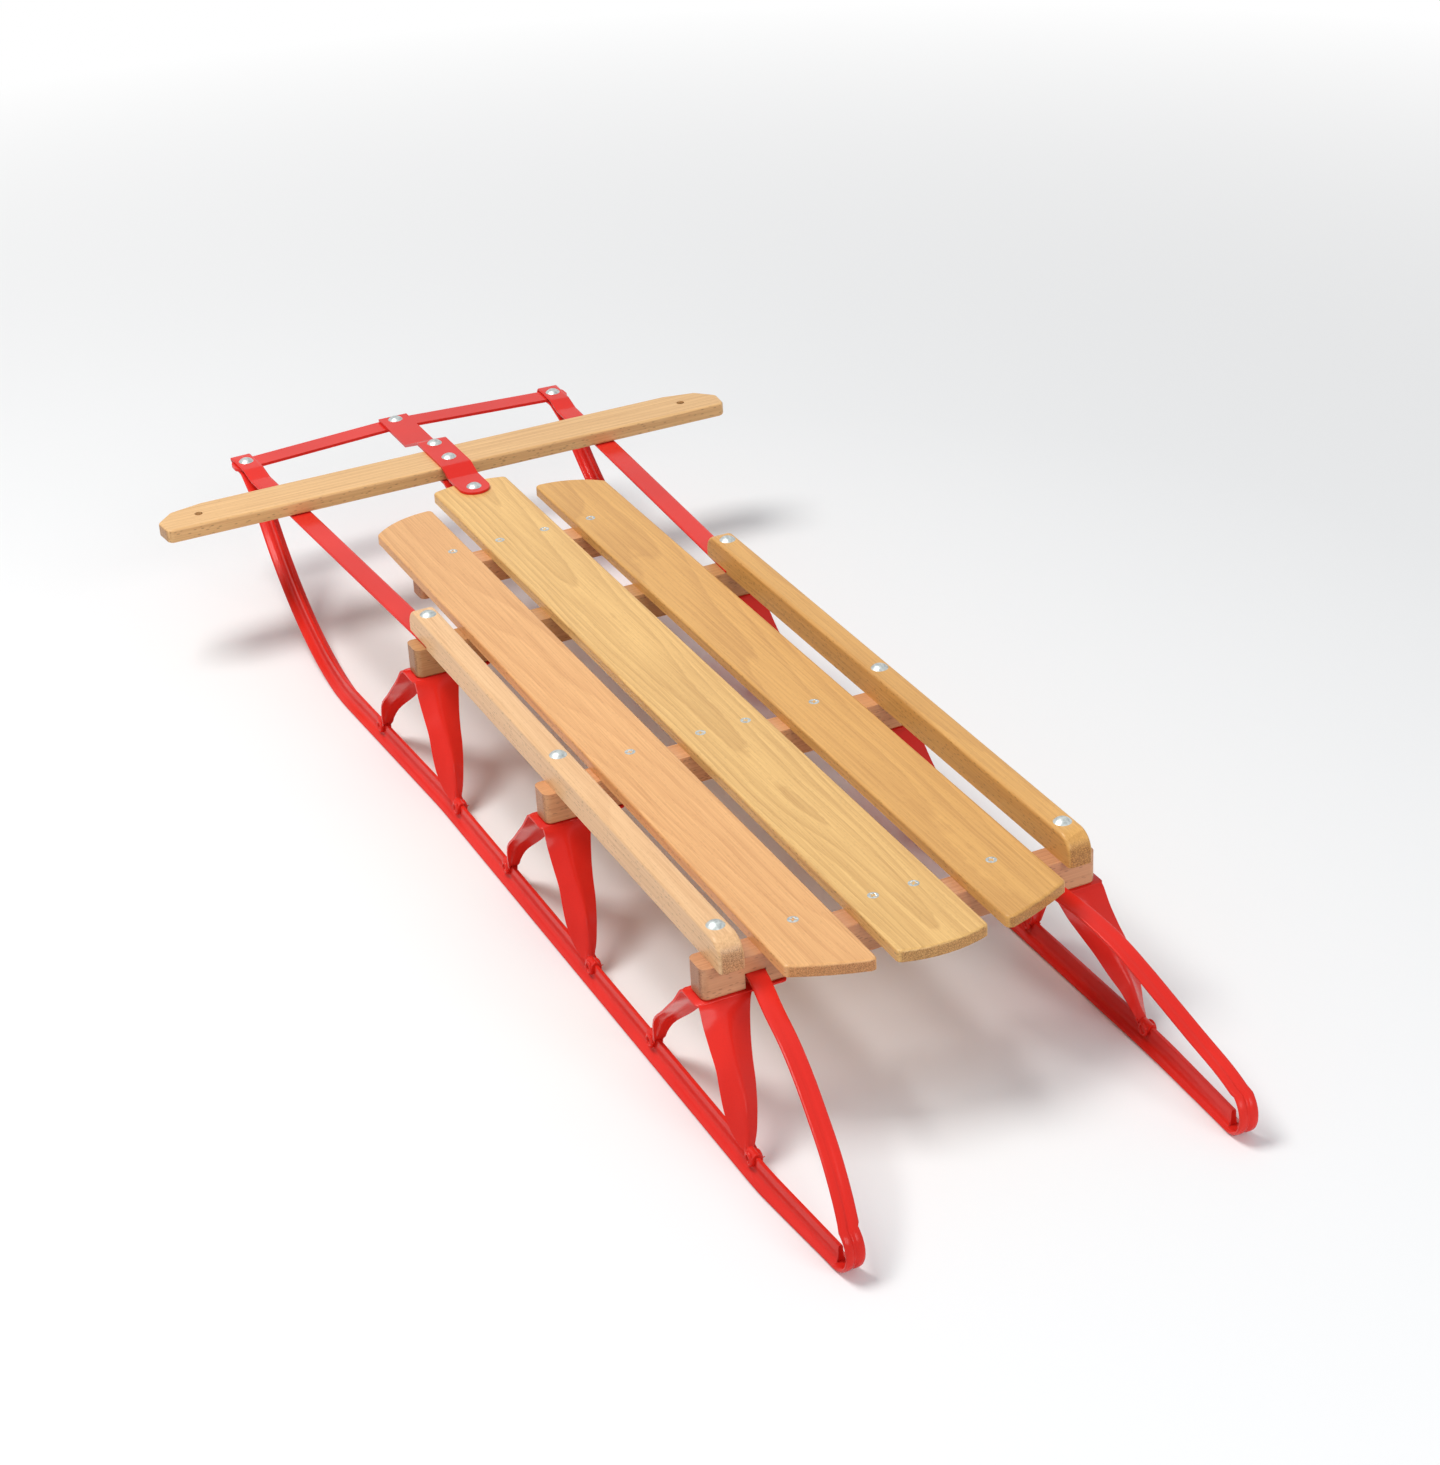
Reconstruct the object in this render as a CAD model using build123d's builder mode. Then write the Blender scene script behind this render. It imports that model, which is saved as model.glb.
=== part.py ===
"""Wooden runner sled: slatted deck on three crossbeams, steel knees and runners, flexing steered nose.

Millimetres. The rider faces -Y, +X is the rider's left and Z is up. The origin is on the floor at the
middle of the sled's box. Side profiles are drawn in the YZ plane and pushed out sideways.
"""
from build123d import *
import math
import os

os.makedirs("parts", exist_ok=True)

# Deck
SLAT_T = 10.0
DECK_TOP = 142.0
GAP_SLATS = 16.0
CENTRE_W = 77.0
OUTER_W = 65.0
CENTRE_FRONT = -459.5
CENTRE_REAR = 514.5
OUTER_FRONT = -415.5
OUTER_REAR = 509.5
CENTRE_BOW = 7.0
OUTER_BOW = 8.3
OUTER_RAKE = 26.0
SLAT_EASE = 2.5
SLAT_CORNER = 5.0

# Crossbeams and the batten under the deck's front
BEAM_W = 25.0
BEAM_H = 28.0
BEAM_HALF = 170.0
BEAM_PITCH = 300.0
BEAM_MIDDLE = 133.0
BEAM_CORNER = 6.0
BEAM_EASE = 2.5
BOLT_AHEAD = 3.5
BATTEN_H = 24.0
BATTEN_HALF = 112.0
BATTEN_AHEAD = 144.0

# Side rails
RAIL_X = 149.0
RAIL_W = 21.0
RAIL_H = 25.5
RAIL_AHEAD = 29.5
RAIL_BEHIND = 24.5
RAIL_ROUND = 17.0
RAIL_EASE = 3.0

# Steel strip and the rolled runner section
STRIP_T = 2.5
STRIP_W = 21.0
RUNNER_X = 170.0
SHOE_W = 20.0
SHOE_T = 3.5
RIB_W = 4.0
RIB_H = 17.0
ROOT = 0.5
GROOVE_W = 3.0
GROOVE_D = 1.5

# The runners in plan: straight, then splayed ahead of the front legs, then turned in to the corners
SPLAY_BEHIND = 67.0
TOE_OUT = 9.5

# Front corner, where the strip folds round the bumper and runs down to the toe
CORNER_Y = -645.5
CURL_AHEAD = 20.5
CURL_R = 4.3
CURL_BACK = 8.0
NECK_BEHIND = 14.0
NECK_R = 12.0
BEND_BEHIND = 39.5
BEND_DROP = 11.0
BEND_R = 22.0
NECK_LENGTH = 21.0
NECK_LAP = 1.0
TOE_R = 340.0
# Straight runs left before the toe arc, and between it and the turn in plan
ARC_BEFORE = 0.5
ARC_AFTER = 5.5
# A dip in the strip between the steering bar and the bumper, measured back from the corner
DIP = [
    {"behind": 100.0, "drop": 0.0},
    {"behind": 76.0, "drop": 4.5},
    {"behind": 40.0, "drop": 4.5},
    {"behind": 21.0, "drop": 0.0},
]
DIP_R = 14.0

# Rear end, where the runner turns up, twists and comes forward again into the rear crossbeam
HEEL_START = 545.0
HEEL_LENGTH = 170.0
HEEL_R = 21.5
HEEL_IN = 0.055
HEEL_END = 118.0
HEEL_END_Z = 39.0
HEEL_W = 16.0
HEEL_NARROW = 95.0
HEEL_RIB = 105.0
RETURN_T = 3.6
NOTCH_X = 125.75
NOTCH_W = 17.5
NOTCH_H = 14.5
# Sections of the returning strap: place along the sled, centre across and top
RETURN_W = 16.0
RETURN = [
    {"y": 665.0, "x": 163.4, "top": 37.2},
    {"y": 645.0, "x": 158.5, "top": 52.2},
    {"y": 615.0, "x": 151.9, "top": 68.0},
    {"y": 585.0, "x": 146.7, "top": 82.2},
    {"y": 555.0, "x": 142.0, "top": 95.5},
    {"y": 525.0, "x": 137.9, "top": 105.9},
    {"y": 490.0, "x": 133.2, "top": 112.4},
    {"y": 447.0, "x": 125.75, "top": 117.8},
    {"y": 420.5, "x": 125.75, "top": 118.3},
]

# Flexing noses: an upright axis stands for the bending of the steel
FLEX_AHEAD = 135.0
FLEX_R = 30.0
FLEX_GAP = 0.3

# Knees
SHEET = 2.0
SHEET_RISE = 2.8
SHEET_ROOT = 1.6
FLANGE_OUT = 176.0
FLANGE_IN = 100.0
FLANGE_EDGE = 2.0
FLANGE_CORNER = 4.0
# Folded sheets from the flange to the feet: place from the beam's middle towards the foot, then across and up
# for the outer edge, the fold and the inner edge
LEG = [
    {"run": 9.0, "outer": (173.5, 102.2), "fold": (157.0, 102.3), "inner": (132.0, 102.2)},
    {"run": 25.0, "outer": (175.5, 86.0), "fold": (158.5, 89.5), "inner": (138.0, 86.0)},
    {"run": 46.0, "outer": (177.5, 65.0), "fold": (162.0, 69.5), "inner": (147.0, 65.0)},
    {"run": 61.0, "outer": (180.0, 50.0), "fold": (164.5, 54.5), "inner": (152.0, 50.0)},
    {"run": 71.0, "outer": (181.0, 40.0), "fold": (166.5, 43.0), "inner": (156.5, 39.0)},
    {"run": 81.0, "outer": (178.0, 29.0), "fold": (169.5, 31.5), "inner": (162.5, 28.0)},
    {"run": 88.0, "outer": (174.2, 19.5), "fold": (170.0, 20.3), "inner": (165.8, 19.5)},
]
ARM = [
    {"run": 9.0, "outer": (175.5, 102.2), "fold": (160.0, 102.3), "inner": (140.0, 102.2)},
    {"run": 27.0, "outer": (177.5, 84.0), "fold": (161.0, 83.0), "inner": (146.0, 77.0)},
    {"run": 50.0, "outer": (177.5, 61.0), "fold": (164.0, 60.0), "inner": (153.0, 53.0)},
    {"run": 71.0, "outer": (177.0, 40.0), "fold": (167.0, 39.0), "inner": (160.0, 33.0)},
    {"run": 88.0, "outer": (174.2, 19.5), "fold": (170.0, 19.8), "inner": (165.8, 19.5)},
]
# Feet, measured from each beam's middle
KNEES = [
    {"name": "front", "leg": 93.0, "arm": 88.0},
    {"name": "middle", "leg": 92.0, "arm": 89.0},
    {"name": "rear", "leg": 89.0, "arm": 88.0},
]
CLIP_R = 6.5
CLIP_RISE = 4.0
CLIP_CLEAR = 0.1
RIVET_Z = 12.5
RIVET_R = 2.5
RIVET_HEAD_R = 4.5
RIVET_HEAD_T = 1.2

# Bumper bar
BUMPER_W = 24.0
BUMPER_T = 3.0
BUMPER_KINK = 19.0
BUMPER_OVER = 14.0
BUMPER_CORNER = 8.0

# Steering bar and its two steel plates
PIVOT_INSET = 20.0
BAR_FRONT = -539.5
BAR_D = 51.0
BAR_T = 14.0
BAR_HALF = 300.0
BAR_EASE = 2.5
BAR_CORNER = 7.0
BAR_TAPER_X = 250.0
BAR_TAPER = 1.0
BAR_SHOULDER_X = 283.0
BAR_SHOULDER = 8.0
BAR_NOSE = 26.0
BAR_TAIL = 2.5
ROPE_X = 259.0
ROPE_AHEAD = 25.0
ROPE_R = 4.0
PLATE_W = 31.0
PLATE_LIP = 9.0
PLATE_BEND = 6.0
STEP_RUN = 18.0
STEP_START = 2.0
LOWER_STEP = 12.0
RAMP_AHEAD = 16.0
RAMP_RUN = 40.0
BUMPER_BOLT_AHEAD = 21.0
FRONT_BOLT_AHEAD = 7.5
MIDDLE_BOLT_BEHIND = 33.0

# Fasteners
BOLT_R = 3.0
HEAD_R = 7.5
HEAD_H = 3.5
NUT_R = 5.5
NUT_H = 5.0
FIT = 0.05
SLIDE = 0.3
BAR_SLIDE = 0.5
OPEN_PIVOT = 1.0
OVER = 1.0

# Levels and places that follow from the sizes above
BEAM_TOP = DECK_TOP - SLAT_T
BEAM_LOW = BEAM_TOP - BEAM_H
RAIL_TOP = BEAM_TOP + RAIL_H
STRIP_TOP = BEAM_TOP + STRIP_T
FLANGE_LOW = BEAM_LOW - SHEET
BAR_LOW = STRIP_TOP + BAR_SLIDE
BAR_TOP = BAR_LOW + BAR_T
PLATE_TOP = BAR_TOP + STRIP_T
BUMPER_TOP = BEAM_TOP - SLIDE
BUMPER_LOW = BUMPER_TOP - BUMPER_T
CURL_LOW = STRIP_TOP - 2 * CURL_R
OUTER_X = CENTRE_W / 2 + GAP_SLATS + OUTER_W / 2
BEAMS = {
    "front": BEAM_MIDDLE - BEAM_PITCH,
    "middle": BEAM_MIDDLE,
    "rear": BEAM_MIDDLE + BEAM_PITCH,
}
SIDES = {"left": 1, "right": -1}
BOLT_ROWS = [y - BOLT_AHEAD for y in BEAMS.values()]
FRONT_LAP = BEAMS["front"] + BEAM_W / 2
RAIL_FRONT = BEAMS["front"] - RAIL_AHEAD
RAIL_REAR = BEAMS["rear"] + RAIL_BEHIND
FLEX_Y = BEAMS["front"] - FLEX_AHEAD
BATTEN_Y = BEAMS["front"] - BATTEN_AHEAD
PIVOT_Y = CENTRE_FRONT + PIVOT_INSET
BAR_REAR = BAR_FRONT + BAR_D
ROPE_Y = BAR_REAR - ROPE_AHEAD
BUMPER_BOLT_Y = CORNER_Y - BUMPER_BOLT_AHEAD
FRONT_BOLT_Y = BAR_FRONT - FRONT_BOLT_AHEAD
MIDDLE_BOLT_Y = BAR_FRONT + MIDDLE_BOLT_BEHIND
STRIP_TURN = math.atan2(RUNNER_X - RAIL_X, BEAMS["front"] - CORNER_Y)
STRIP_END = (FRONT_LAP - CORNER_Y) / math.cos(STRIP_TURN)
SPLAY_Y = BEAMS["front"] + SPLAY_BEHIND
# The toe's slope, from the height and the straight run that are left above its arc
BEND_Z = CURL_LOW - BEND_DROP
ARC_START = NECK_LENGTH + ARC_BEFORE
TOE_SLOPE = math.acos((TOE_R - BEND_Z) / math.hypot(TOE_R, ARC_START)) - math.atan2(ARC_START, TOE_R)
TOE_BEHIND = BEND_BEHIND + BEND_Z / math.tan(TOE_SLOPE)
TURN_Y = CORNER_Y + TOE_BEHIND + TOE_R * math.tan(TOE_SLOPE / 2) + ARC_AFTER
SPLAY = math.atan2(TOE_OUT, SPLAY_Y - TURN_Y)
TOE_IN = math.atan2(TOE_OUT, TURN_Y - CORNER_Y)


# A low domed bolt head, standing on the plane Z = 0
HEAD_BALL = (HEAD_R**2 + HEAD_H**2) / (2 * HEAD_H)
HEAD = Pos(0, 0, HEAD_H - HEAD_BALL) * Sphere(HEAD_BALL) & Cylinder(
    HEAD_R + OVER, HEAD_H, align=(Align.CENTER, Align.CENTER, Align.MIN)
)


def keep(builder, name):
    """Labels a finished piece and writes it."""
    builder.part.label = name
    export_step(builder.part, f"parts/{name}.step")


def shifted(points, radii, distance):
    """Moves a route with rounded corners to its left by a distance, with each corner's radius to suit."""
    heads = [(Vector(*b) - Vector(*a)).normalized() for a, b in zip(points, points[1:])]
    lefts = [Vector(-h.Y, h.X) for h in heads]
    moved = [Vector(*points[0]) + lefts[0] * distance]
    turned = []
    for corner, before, after, left, radius in zip(points[1:-1], heads, heads[1:], lefts, radii):
        turn = before.X * after.Y - before.Y * after.X
        lean = before.X * after.X + before.Y * after.Y
        slide = distance * (1 - lean) / turn
        moved.append(Vector(*corner) + left * distance - before * slide)
        turned.append(radius - math.copysign(distance, turn))
    moved.append(Vector(*points[-1]) + lefts[-1] * distance)
    return [(p.X, p.Y) for p in moved], turned


def band(points, radii, near, far):
    """Draws the closed band between two distances to the left of a route with rounded corners."""
    near_points, near_radii = shifted(points, radii, near)
    far_points, far_radii = shifted(points, radii, far)
    with BuildLine() as outline:
        if radii:
            first = FilletPolyline(*near_points, radius=near_radii)
            second = FilletPolyline(*far_points, radius=far_radii)
        else:
            first = Line(*near_points)
            second = Line(*far_points)
        Line(first @ 0, second @ 0)
        Line(first @ 1, second @ 1)
    make_face(outline.edges())


def upright(x, y, toward_x, toward_y):
    """The upright plane through (x, y) whose first axis runs along the given level direction."""
    along = Vector(toward_x, toward_y, 0)
    return Plane(origin=(x, y, 0), x_dir=along, z_dir=along.cross(Vector(0, 0, 1)))


def towards(start, end, distance):
    """The point at a distance from one point towards another."""
    share = distance / math.dist(start, end)
    return tuple(a + (b - a) * share for a, b in zip(start, end))


def runner_x(y):
    """How far out the runner's middle lies, from the heel to the turn ahead of the front knee."""
    return RUNNER_X + max(0, SPLAY_Y - y) * math.tan(SPLAY)


def foot_plane(y):
    """The upright plane along the runner, starting at a foot."""
    turn = SPLAY if y < SPLAY_Y else 0
    return upright(runner_x(y), y, -math.sin(turn), math.cos(turn))


STRIP_PLANE = upright(RUNNER_X, CORNER_Y, -math.sin(STRIP_TURN), math.cos(STRIP_TURN))
NECK_PLANE = upright(RUNNER_X, CORNER_Y, math.sin(TOE_IN), math.cos(TOE_IN))
SPLAY_PLANE = upright(RUNNER_X, SPLAY_Y, -math.sin(SPLAY), math.cos(SPLAY))
RUNNER_PLANE = upright(RUNNER_X, 0, 0, 1)
HEEL_PLANE = upright(RUNNER_X, HEEL_START, -HEEL_IN, 1)
HEEL_PLAN = Plane(origin=(RUNNER_X, HEEL_START, -OVER), x_dir=(-HEEL_IN, 1, 0), z_dir=(0, 0, 1))
HEEL_SCALE = math.hypot(1, HEEL_IN)

# Stretches of runner reach past each turn in plan until their outer corners meet
SPLAY_LAP = SHOE_W / 2 * math.tan(SPLAY / 2)
TURN_LAP = SHOE_W / 2 * math.tan((SPLAY + TOE_IN) / 2)

# Routes run from front to rear and back, so the inside of each loop lies to the left
STRIP_ROUTE = [
    (STRIP_END, STRIP_TOP),
    *[(row["behind"], STRIP_TOP - row["drop"]) for row in DIP],
    (-CURL_AHEAD, STRIP_TOP),
    (-CURL_AHEAD, CURL_LOW),
    (CURL_BACK, CURL_LOW),
]
STRIP_RADII = [DIP_R] * len(DIP) + [CURL_R, CURL_R - FIT]
BEND = (BEND_BEHIND, BEND_Z)
TOE = (TOE_BEHIND, 0)
NECK_ROUTE = [(0, CURL_LOW), (NECK_BEHIND, CURL_LOW), BEND, towards(BEND, TOE, NECK_LENGTH)]
NECK_RADII = [NECK_R, BEND_R]
TOE_END = (TURN_Y - CORNER_Y) / math.cos(TOE_IN) + TURN_LAP
TOE_ROUTE = [towards(BEND, TOE, NECK_LENGTH - NECK_LAP), TOE, (TOE_END, 0)]
TOE_RADII = [TOE_R]
SPLAY_ROUTE = [((TURN_Y - SPLAY_Y) / math.cos(SPLAY) - TURN_LAP, 0), (SPLAY_LAP, 0)]
RUNNER_ROUTE = [(SPLAY_Y - SPLAY_LAP, 0), (HEEL_START + OVER, 0)]
HEEL_ROUTE = [(0, 0), (HEEL_LENGTH * HEEL_SCALE, 0), (HEEL_END * HEEL_SCALE, HEEL_END_Z)]
HEEL_RADII = [HEEL_R]


def front_part():
    """Keeps what lies ahead of the flexing place, outside its round end."""
    with BuildSketch(Plane.XY) as kept:
        with Locations((RUNNER_X, FLEX_Y)):
            Rectangle(2 * RUNNER_X, 2 * RUNNER_X, align=(Align.CENTER, Align.MAX))
            Rectangle(2 * RUNNER_X, 4 * RUNNER_X, align=(Align.CENTER, Align.MAX))
            Circle(FLEX_R + FLEX_GAP, mode=Mode.SUBTRACT)
    extrude(kept.sketch, amount=RAIL_TOP, mode=Mode.INTERSECT)


def rear_part():
    """Keeps what lies behind the flexing place, with its round end."""
    with BuildSketch(Plane.XY) as kept:
        with Locations((RUNNER_X, FLEX_Y)):
            Rectangle(2 * RUNNER_X, 8 * RUNNER_X, align=(Align.CENTER, Align.MIN))
            Circle(FLEX_R)
    extrude(kept.sketch, amount=RAIL_TOP, mode=Mode.INTERSECT)


def flat(plane, route, radii):
    """A stretch of flat strip."""
    with BuildSketch(plane) as profile:
        band(route, radii, 0, STRIP_T)
    extrude(profile.sketch, amount=STRIP_W / 2, both=True)


def shoe(plane, route, radii):
    """The foot of the runner's section, with a central groove below."""
    with BuildSketch(plane) as face:
        band(route, radii, 0, SHOE_T)
    extrude(face.sketch, amount=SHOE_W / 2, both=True)
    with BuildSketch(plane) as groove:
        band(route, radii, -OVER, GROOVE_D)
    extrude(groove.sketch, amount=GROOVE_W / 2, both=True, mode=Mode.SUBTRACT)


def rib(plane, route, radii):
    """The rib that stands on the shoe, inside the loop."""
    with BuildSketch(plane) as face:
        band(route, radii, SHOE_T - ROOT, RIB_H)
    extrude(face.sketch, amount=RIB_W / 2, both=True)


def rolled(plane, route, radii):
    """A stretch of runner with its shoe and rib."""
    shoe(plane, route, radii)
    rib(plane, route, radii)


def narrowed():
    """Trims the shoe from its full width down to the heel's."""
    with BuildSketch(HEEL_PLAN) as sides:
        with BuildLine() as outline:
            Polyline(
                (0, SHOE_W / 2),
                (HEEL_NARROW, HEEL_W / 2),
                (HEEL_LENGTH, HEEL_W / 2),
                (HEEL_LENGTH, SHOE_W),
                (0, SHOE_W),
                close=True,
            )
        make_face(outline.edges())
        mirror(about=Plane.XZ)
    extrude(sides.sketch, amount=HEEL_END_Z + 2 * OVER, mode=Mode.SUBTRACT)


def returning():
    """The strap from the heel to the rear crossbeam."""
    sections = []
    for row in RETURN:
        with BuildSketch(Plane.XZ.offset(-row["y"])) as section:
            with Locations((row["x"], row["top"])):
                Rectangle(RETURN_W, RETURN_T, align=(Align.CENTER, Align.MAX))
        sections.append(section.sketch)
    loft(sections, ruled=True)


def folded(stations, beam_y, way, foot):
    """A folded sheet from a knee's flange to its foot, behind (way 1) or ahead (way -1) of the beam."""
    sections = []
    drift = runner_x(beam_y + way * foot) - RUNNER_X
    for row in stations:
        first = row is stations[0]
        run = row["run"] if first else row["run"] * foot / stations[-1]["run"]
        rise = SHEET_ROOT if first else SHEET_RISE
        edges = [(x + drift * run / foot, z) for x, z in (row["outer"], row["fold"], row["inner"])]
        with BuildSketch(Plane.XZ.offset(-beam_y - way * run)) as section:
            with BuildLine() as outline:
                Polyline(*edges, *[(x, z + rise) for x, z in reversed(edges)], close=True)
            make_face(outline.edges())
        sections.append(section.sketch)
    loft(sections, ruled=True)


def clip(y):
    """A rounded clip straddling the runner's rib."""
    half = RIB_W / 2 + CLIP_CLEAR + SHEET
    top = RIB_H + CLIP_CLEAR + SHEET + CLIP_RISE
    with BuildSketch(foot_plane(y)) as outline:
        with Locations((0, RIVET_Z)):
            Circle(CLIP_R)
            Rectangle(2 * CLIP_R, top - RIVET_Z, align=(Align.CENTER, Align.MIN))
    extrude(outline.sketch, amount=half, both=True)
    with BuildSketch(foot_plane(y)) as slot:
        Rectangle(2 * CLIP_R + OVER, RIB_H + CLIP_CLEAR, align=(Align.CENTER, Align.MIN))
    extrude(slot.sketch, amount=RIB_W / 2 + CLIP_CLEAR, both=True, mode=Mode.SUBTRACT)


def rivet_holes(feet):
    """Cuts the level holes for the rivets in the feet."""
    for y in feet:
        with BuildSketch(foot_plane(y)) as hole:
            with Locations((0, RIVET_Z)):
                Circle(RIVET_R + FIT)
        extrude(hole.sketch, amount=SHOE_W, both=True, mode=Mode.SUBTRACT)


def flip(side):
    """Turns a piece built on the left into the right-hand one."""
    if side == "right":
        mirror(about=Plane.YZ, mode=Mode.REPLACE)


def bolt(x, y, under_head, nut_top):
    """A round-headed bolt with its nut, at a place in plan."""
    with BuildSketch(Plane.XY.offset(nut_top - NUT_H)) as nut:
        with Locations((x, y)):
            RegularPolygon(NUT_R, 6)
    extrude(nut.sketch, amount=NUT_H)
    low = nut_top - NUT_H - OVER
    with BuildSketch(Plane.XY.offset(low)) as shank:
        with Locations((x, y)):
            Circle(BOLT_R)
    extrude(shank.sketch, amount=under_head + HEAD_H / 2 - low)
    add(Pos(x, y, under_head) * HEAD)


def bore(places, low, high, radius):
    """Cuts upright holes at places in plan."""
    with BuildSketch(Plane.XY.offset(low)) as holes:
        with Locations(*places):
            Circle(radius)
    extrude(holes.sketch, amount=high - low, mode=Mode.SUBTRACT)


FEET = {knee["name"]: (BEAMS[knee["name"]] + knee["leg"], BEAMS[knee["name"]] - knee["arm"]) for knee in KNEES}
ALL_FEET = [y for feet in FEET.values() for y in feet]

# Deck slats: the outer ones are raked at the front and rear, the centre one runs further forward
with BuildPart() as slat_centre:
    half = CENTRE_W / 2
    front_corner = CENTRE_FRONT + CENTRE_BOW
    rear_corner = CENTRE_REAR - CENTRE_BOW
    with BuildSketch(Plane.XY.offset(BEAM_TOP)):
        with BuildLine():
            front = ThreePointArc((-half, front_corner), (0, CENTRE_FRONT), (half, front_corner))
            rear = ThreePointArc((-half, rear_corner), (0, CENTRE_REAR), (half, rear_corner))
            Line(front @ 0, rear @ 0)
            Line(front @ 1, rear @ 1)
        make_face()
        fillet(vertices(), SLAT_CORNER)
    extrude(amount=SLAT_T)
    fillet(faces().sort_by(Axis.Z)[-1].edges(), SLAT_EASE)
    bore([(0, PIVOT_Y)], BEAM_TOP - OVER, DECK_TOP + OVER, BOLT_R + FIT)
keep(slat_centre, "slat_centre")

for side in SIDES:
    with BuildPart() as slat:
        inner = OUTER_X - OUTER_W / 2
        outer = OUTER_X + OUTER_W / 2
        front_middle = OUTER_FRONT + OUTER_RAKE / 2 - OUTER_BOW
        rear_middle = OUTER_REAR - OUTER_RAKE / 2 + OUTER_BOW / 4
        with BuildSketch(Plane.XY.offset(BEAM_TOP)):
            with BuildLine():
                front = ThreePointArc(
                    (inner, OUTER_FRONT), (OUTER_X, front_middle), (outer, OUTER_FRONT + OUTER_RAKE)
                )
                rear = ThreePointArc(
                    (inner, OUTER_REAR), (OUTER_X, rear_middle), (outer, OUTER_REAR - OUTER_RAKE)
                )
                Line(front @ 0, rear @ 0)
                Line(front @ 1, rear @ 1)
            make_face()
            fillet(vertices(), SLAT_CORNER)
        extrude(amount=SLAT_T)
        fillet(faces().sort_by(Axis.Z)[-1].edges(), SLAT_EASE)
        flip(side)
    keep(slat, f"slat_{side}")

with BuildPart() as batten:
    with BuildSketch(Plane.XY.offset(BEAM_TOP - BATTEN_H)):
        with Locations((0, BATTEN_Y)):
            RectangleRounded(2 * BATTEN_HALF, BEAM_W, BEAM_CORNER)
    extrude(amount=BATTEN_H)
keep(batten, "front_batten")

# Crossbeams; the rear one is notched from below where the runners' ends come through
for name, beam_y in BEAMS.items():
    with BuildPart() as beam:
        with BuildSketch(Plane.XY.offset(BEAM_LOW)):
            with Locations((0, beam_y)):
                RectangleRounded(2 * BEAM_HALF, BEAM_W, BEAM_CORNER)
        extrude(amount=BEAM_H)
        fillet(faces().sort_by(Axis.Z)[0].edges(), BEAM_EASE)
        if name == "rear":
            with BuildSketch(Plane.XY.offset(BEAM_LOW - OVER)):
                with Locations((NOTCH_X, beam_y), (-NOTCH_X, beam_y)):
                    Rectangle(NOTCH_W, BEAM_W + 2 * OVER)
            extrude(amount=NOTCH_H + OVER, mode=Mode.SUBTRACT)
        rail_places = [(sign * RAIL_X, beam_y - BOLT_AHEAD) for sign in SIDES.values()]
        bore(rail_places, BEAM_LOW - OVER, BEAM_TOP + OVER, BOLT_R + FIT)
    keep(beam, f"crossbeam_{name}")

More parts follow.
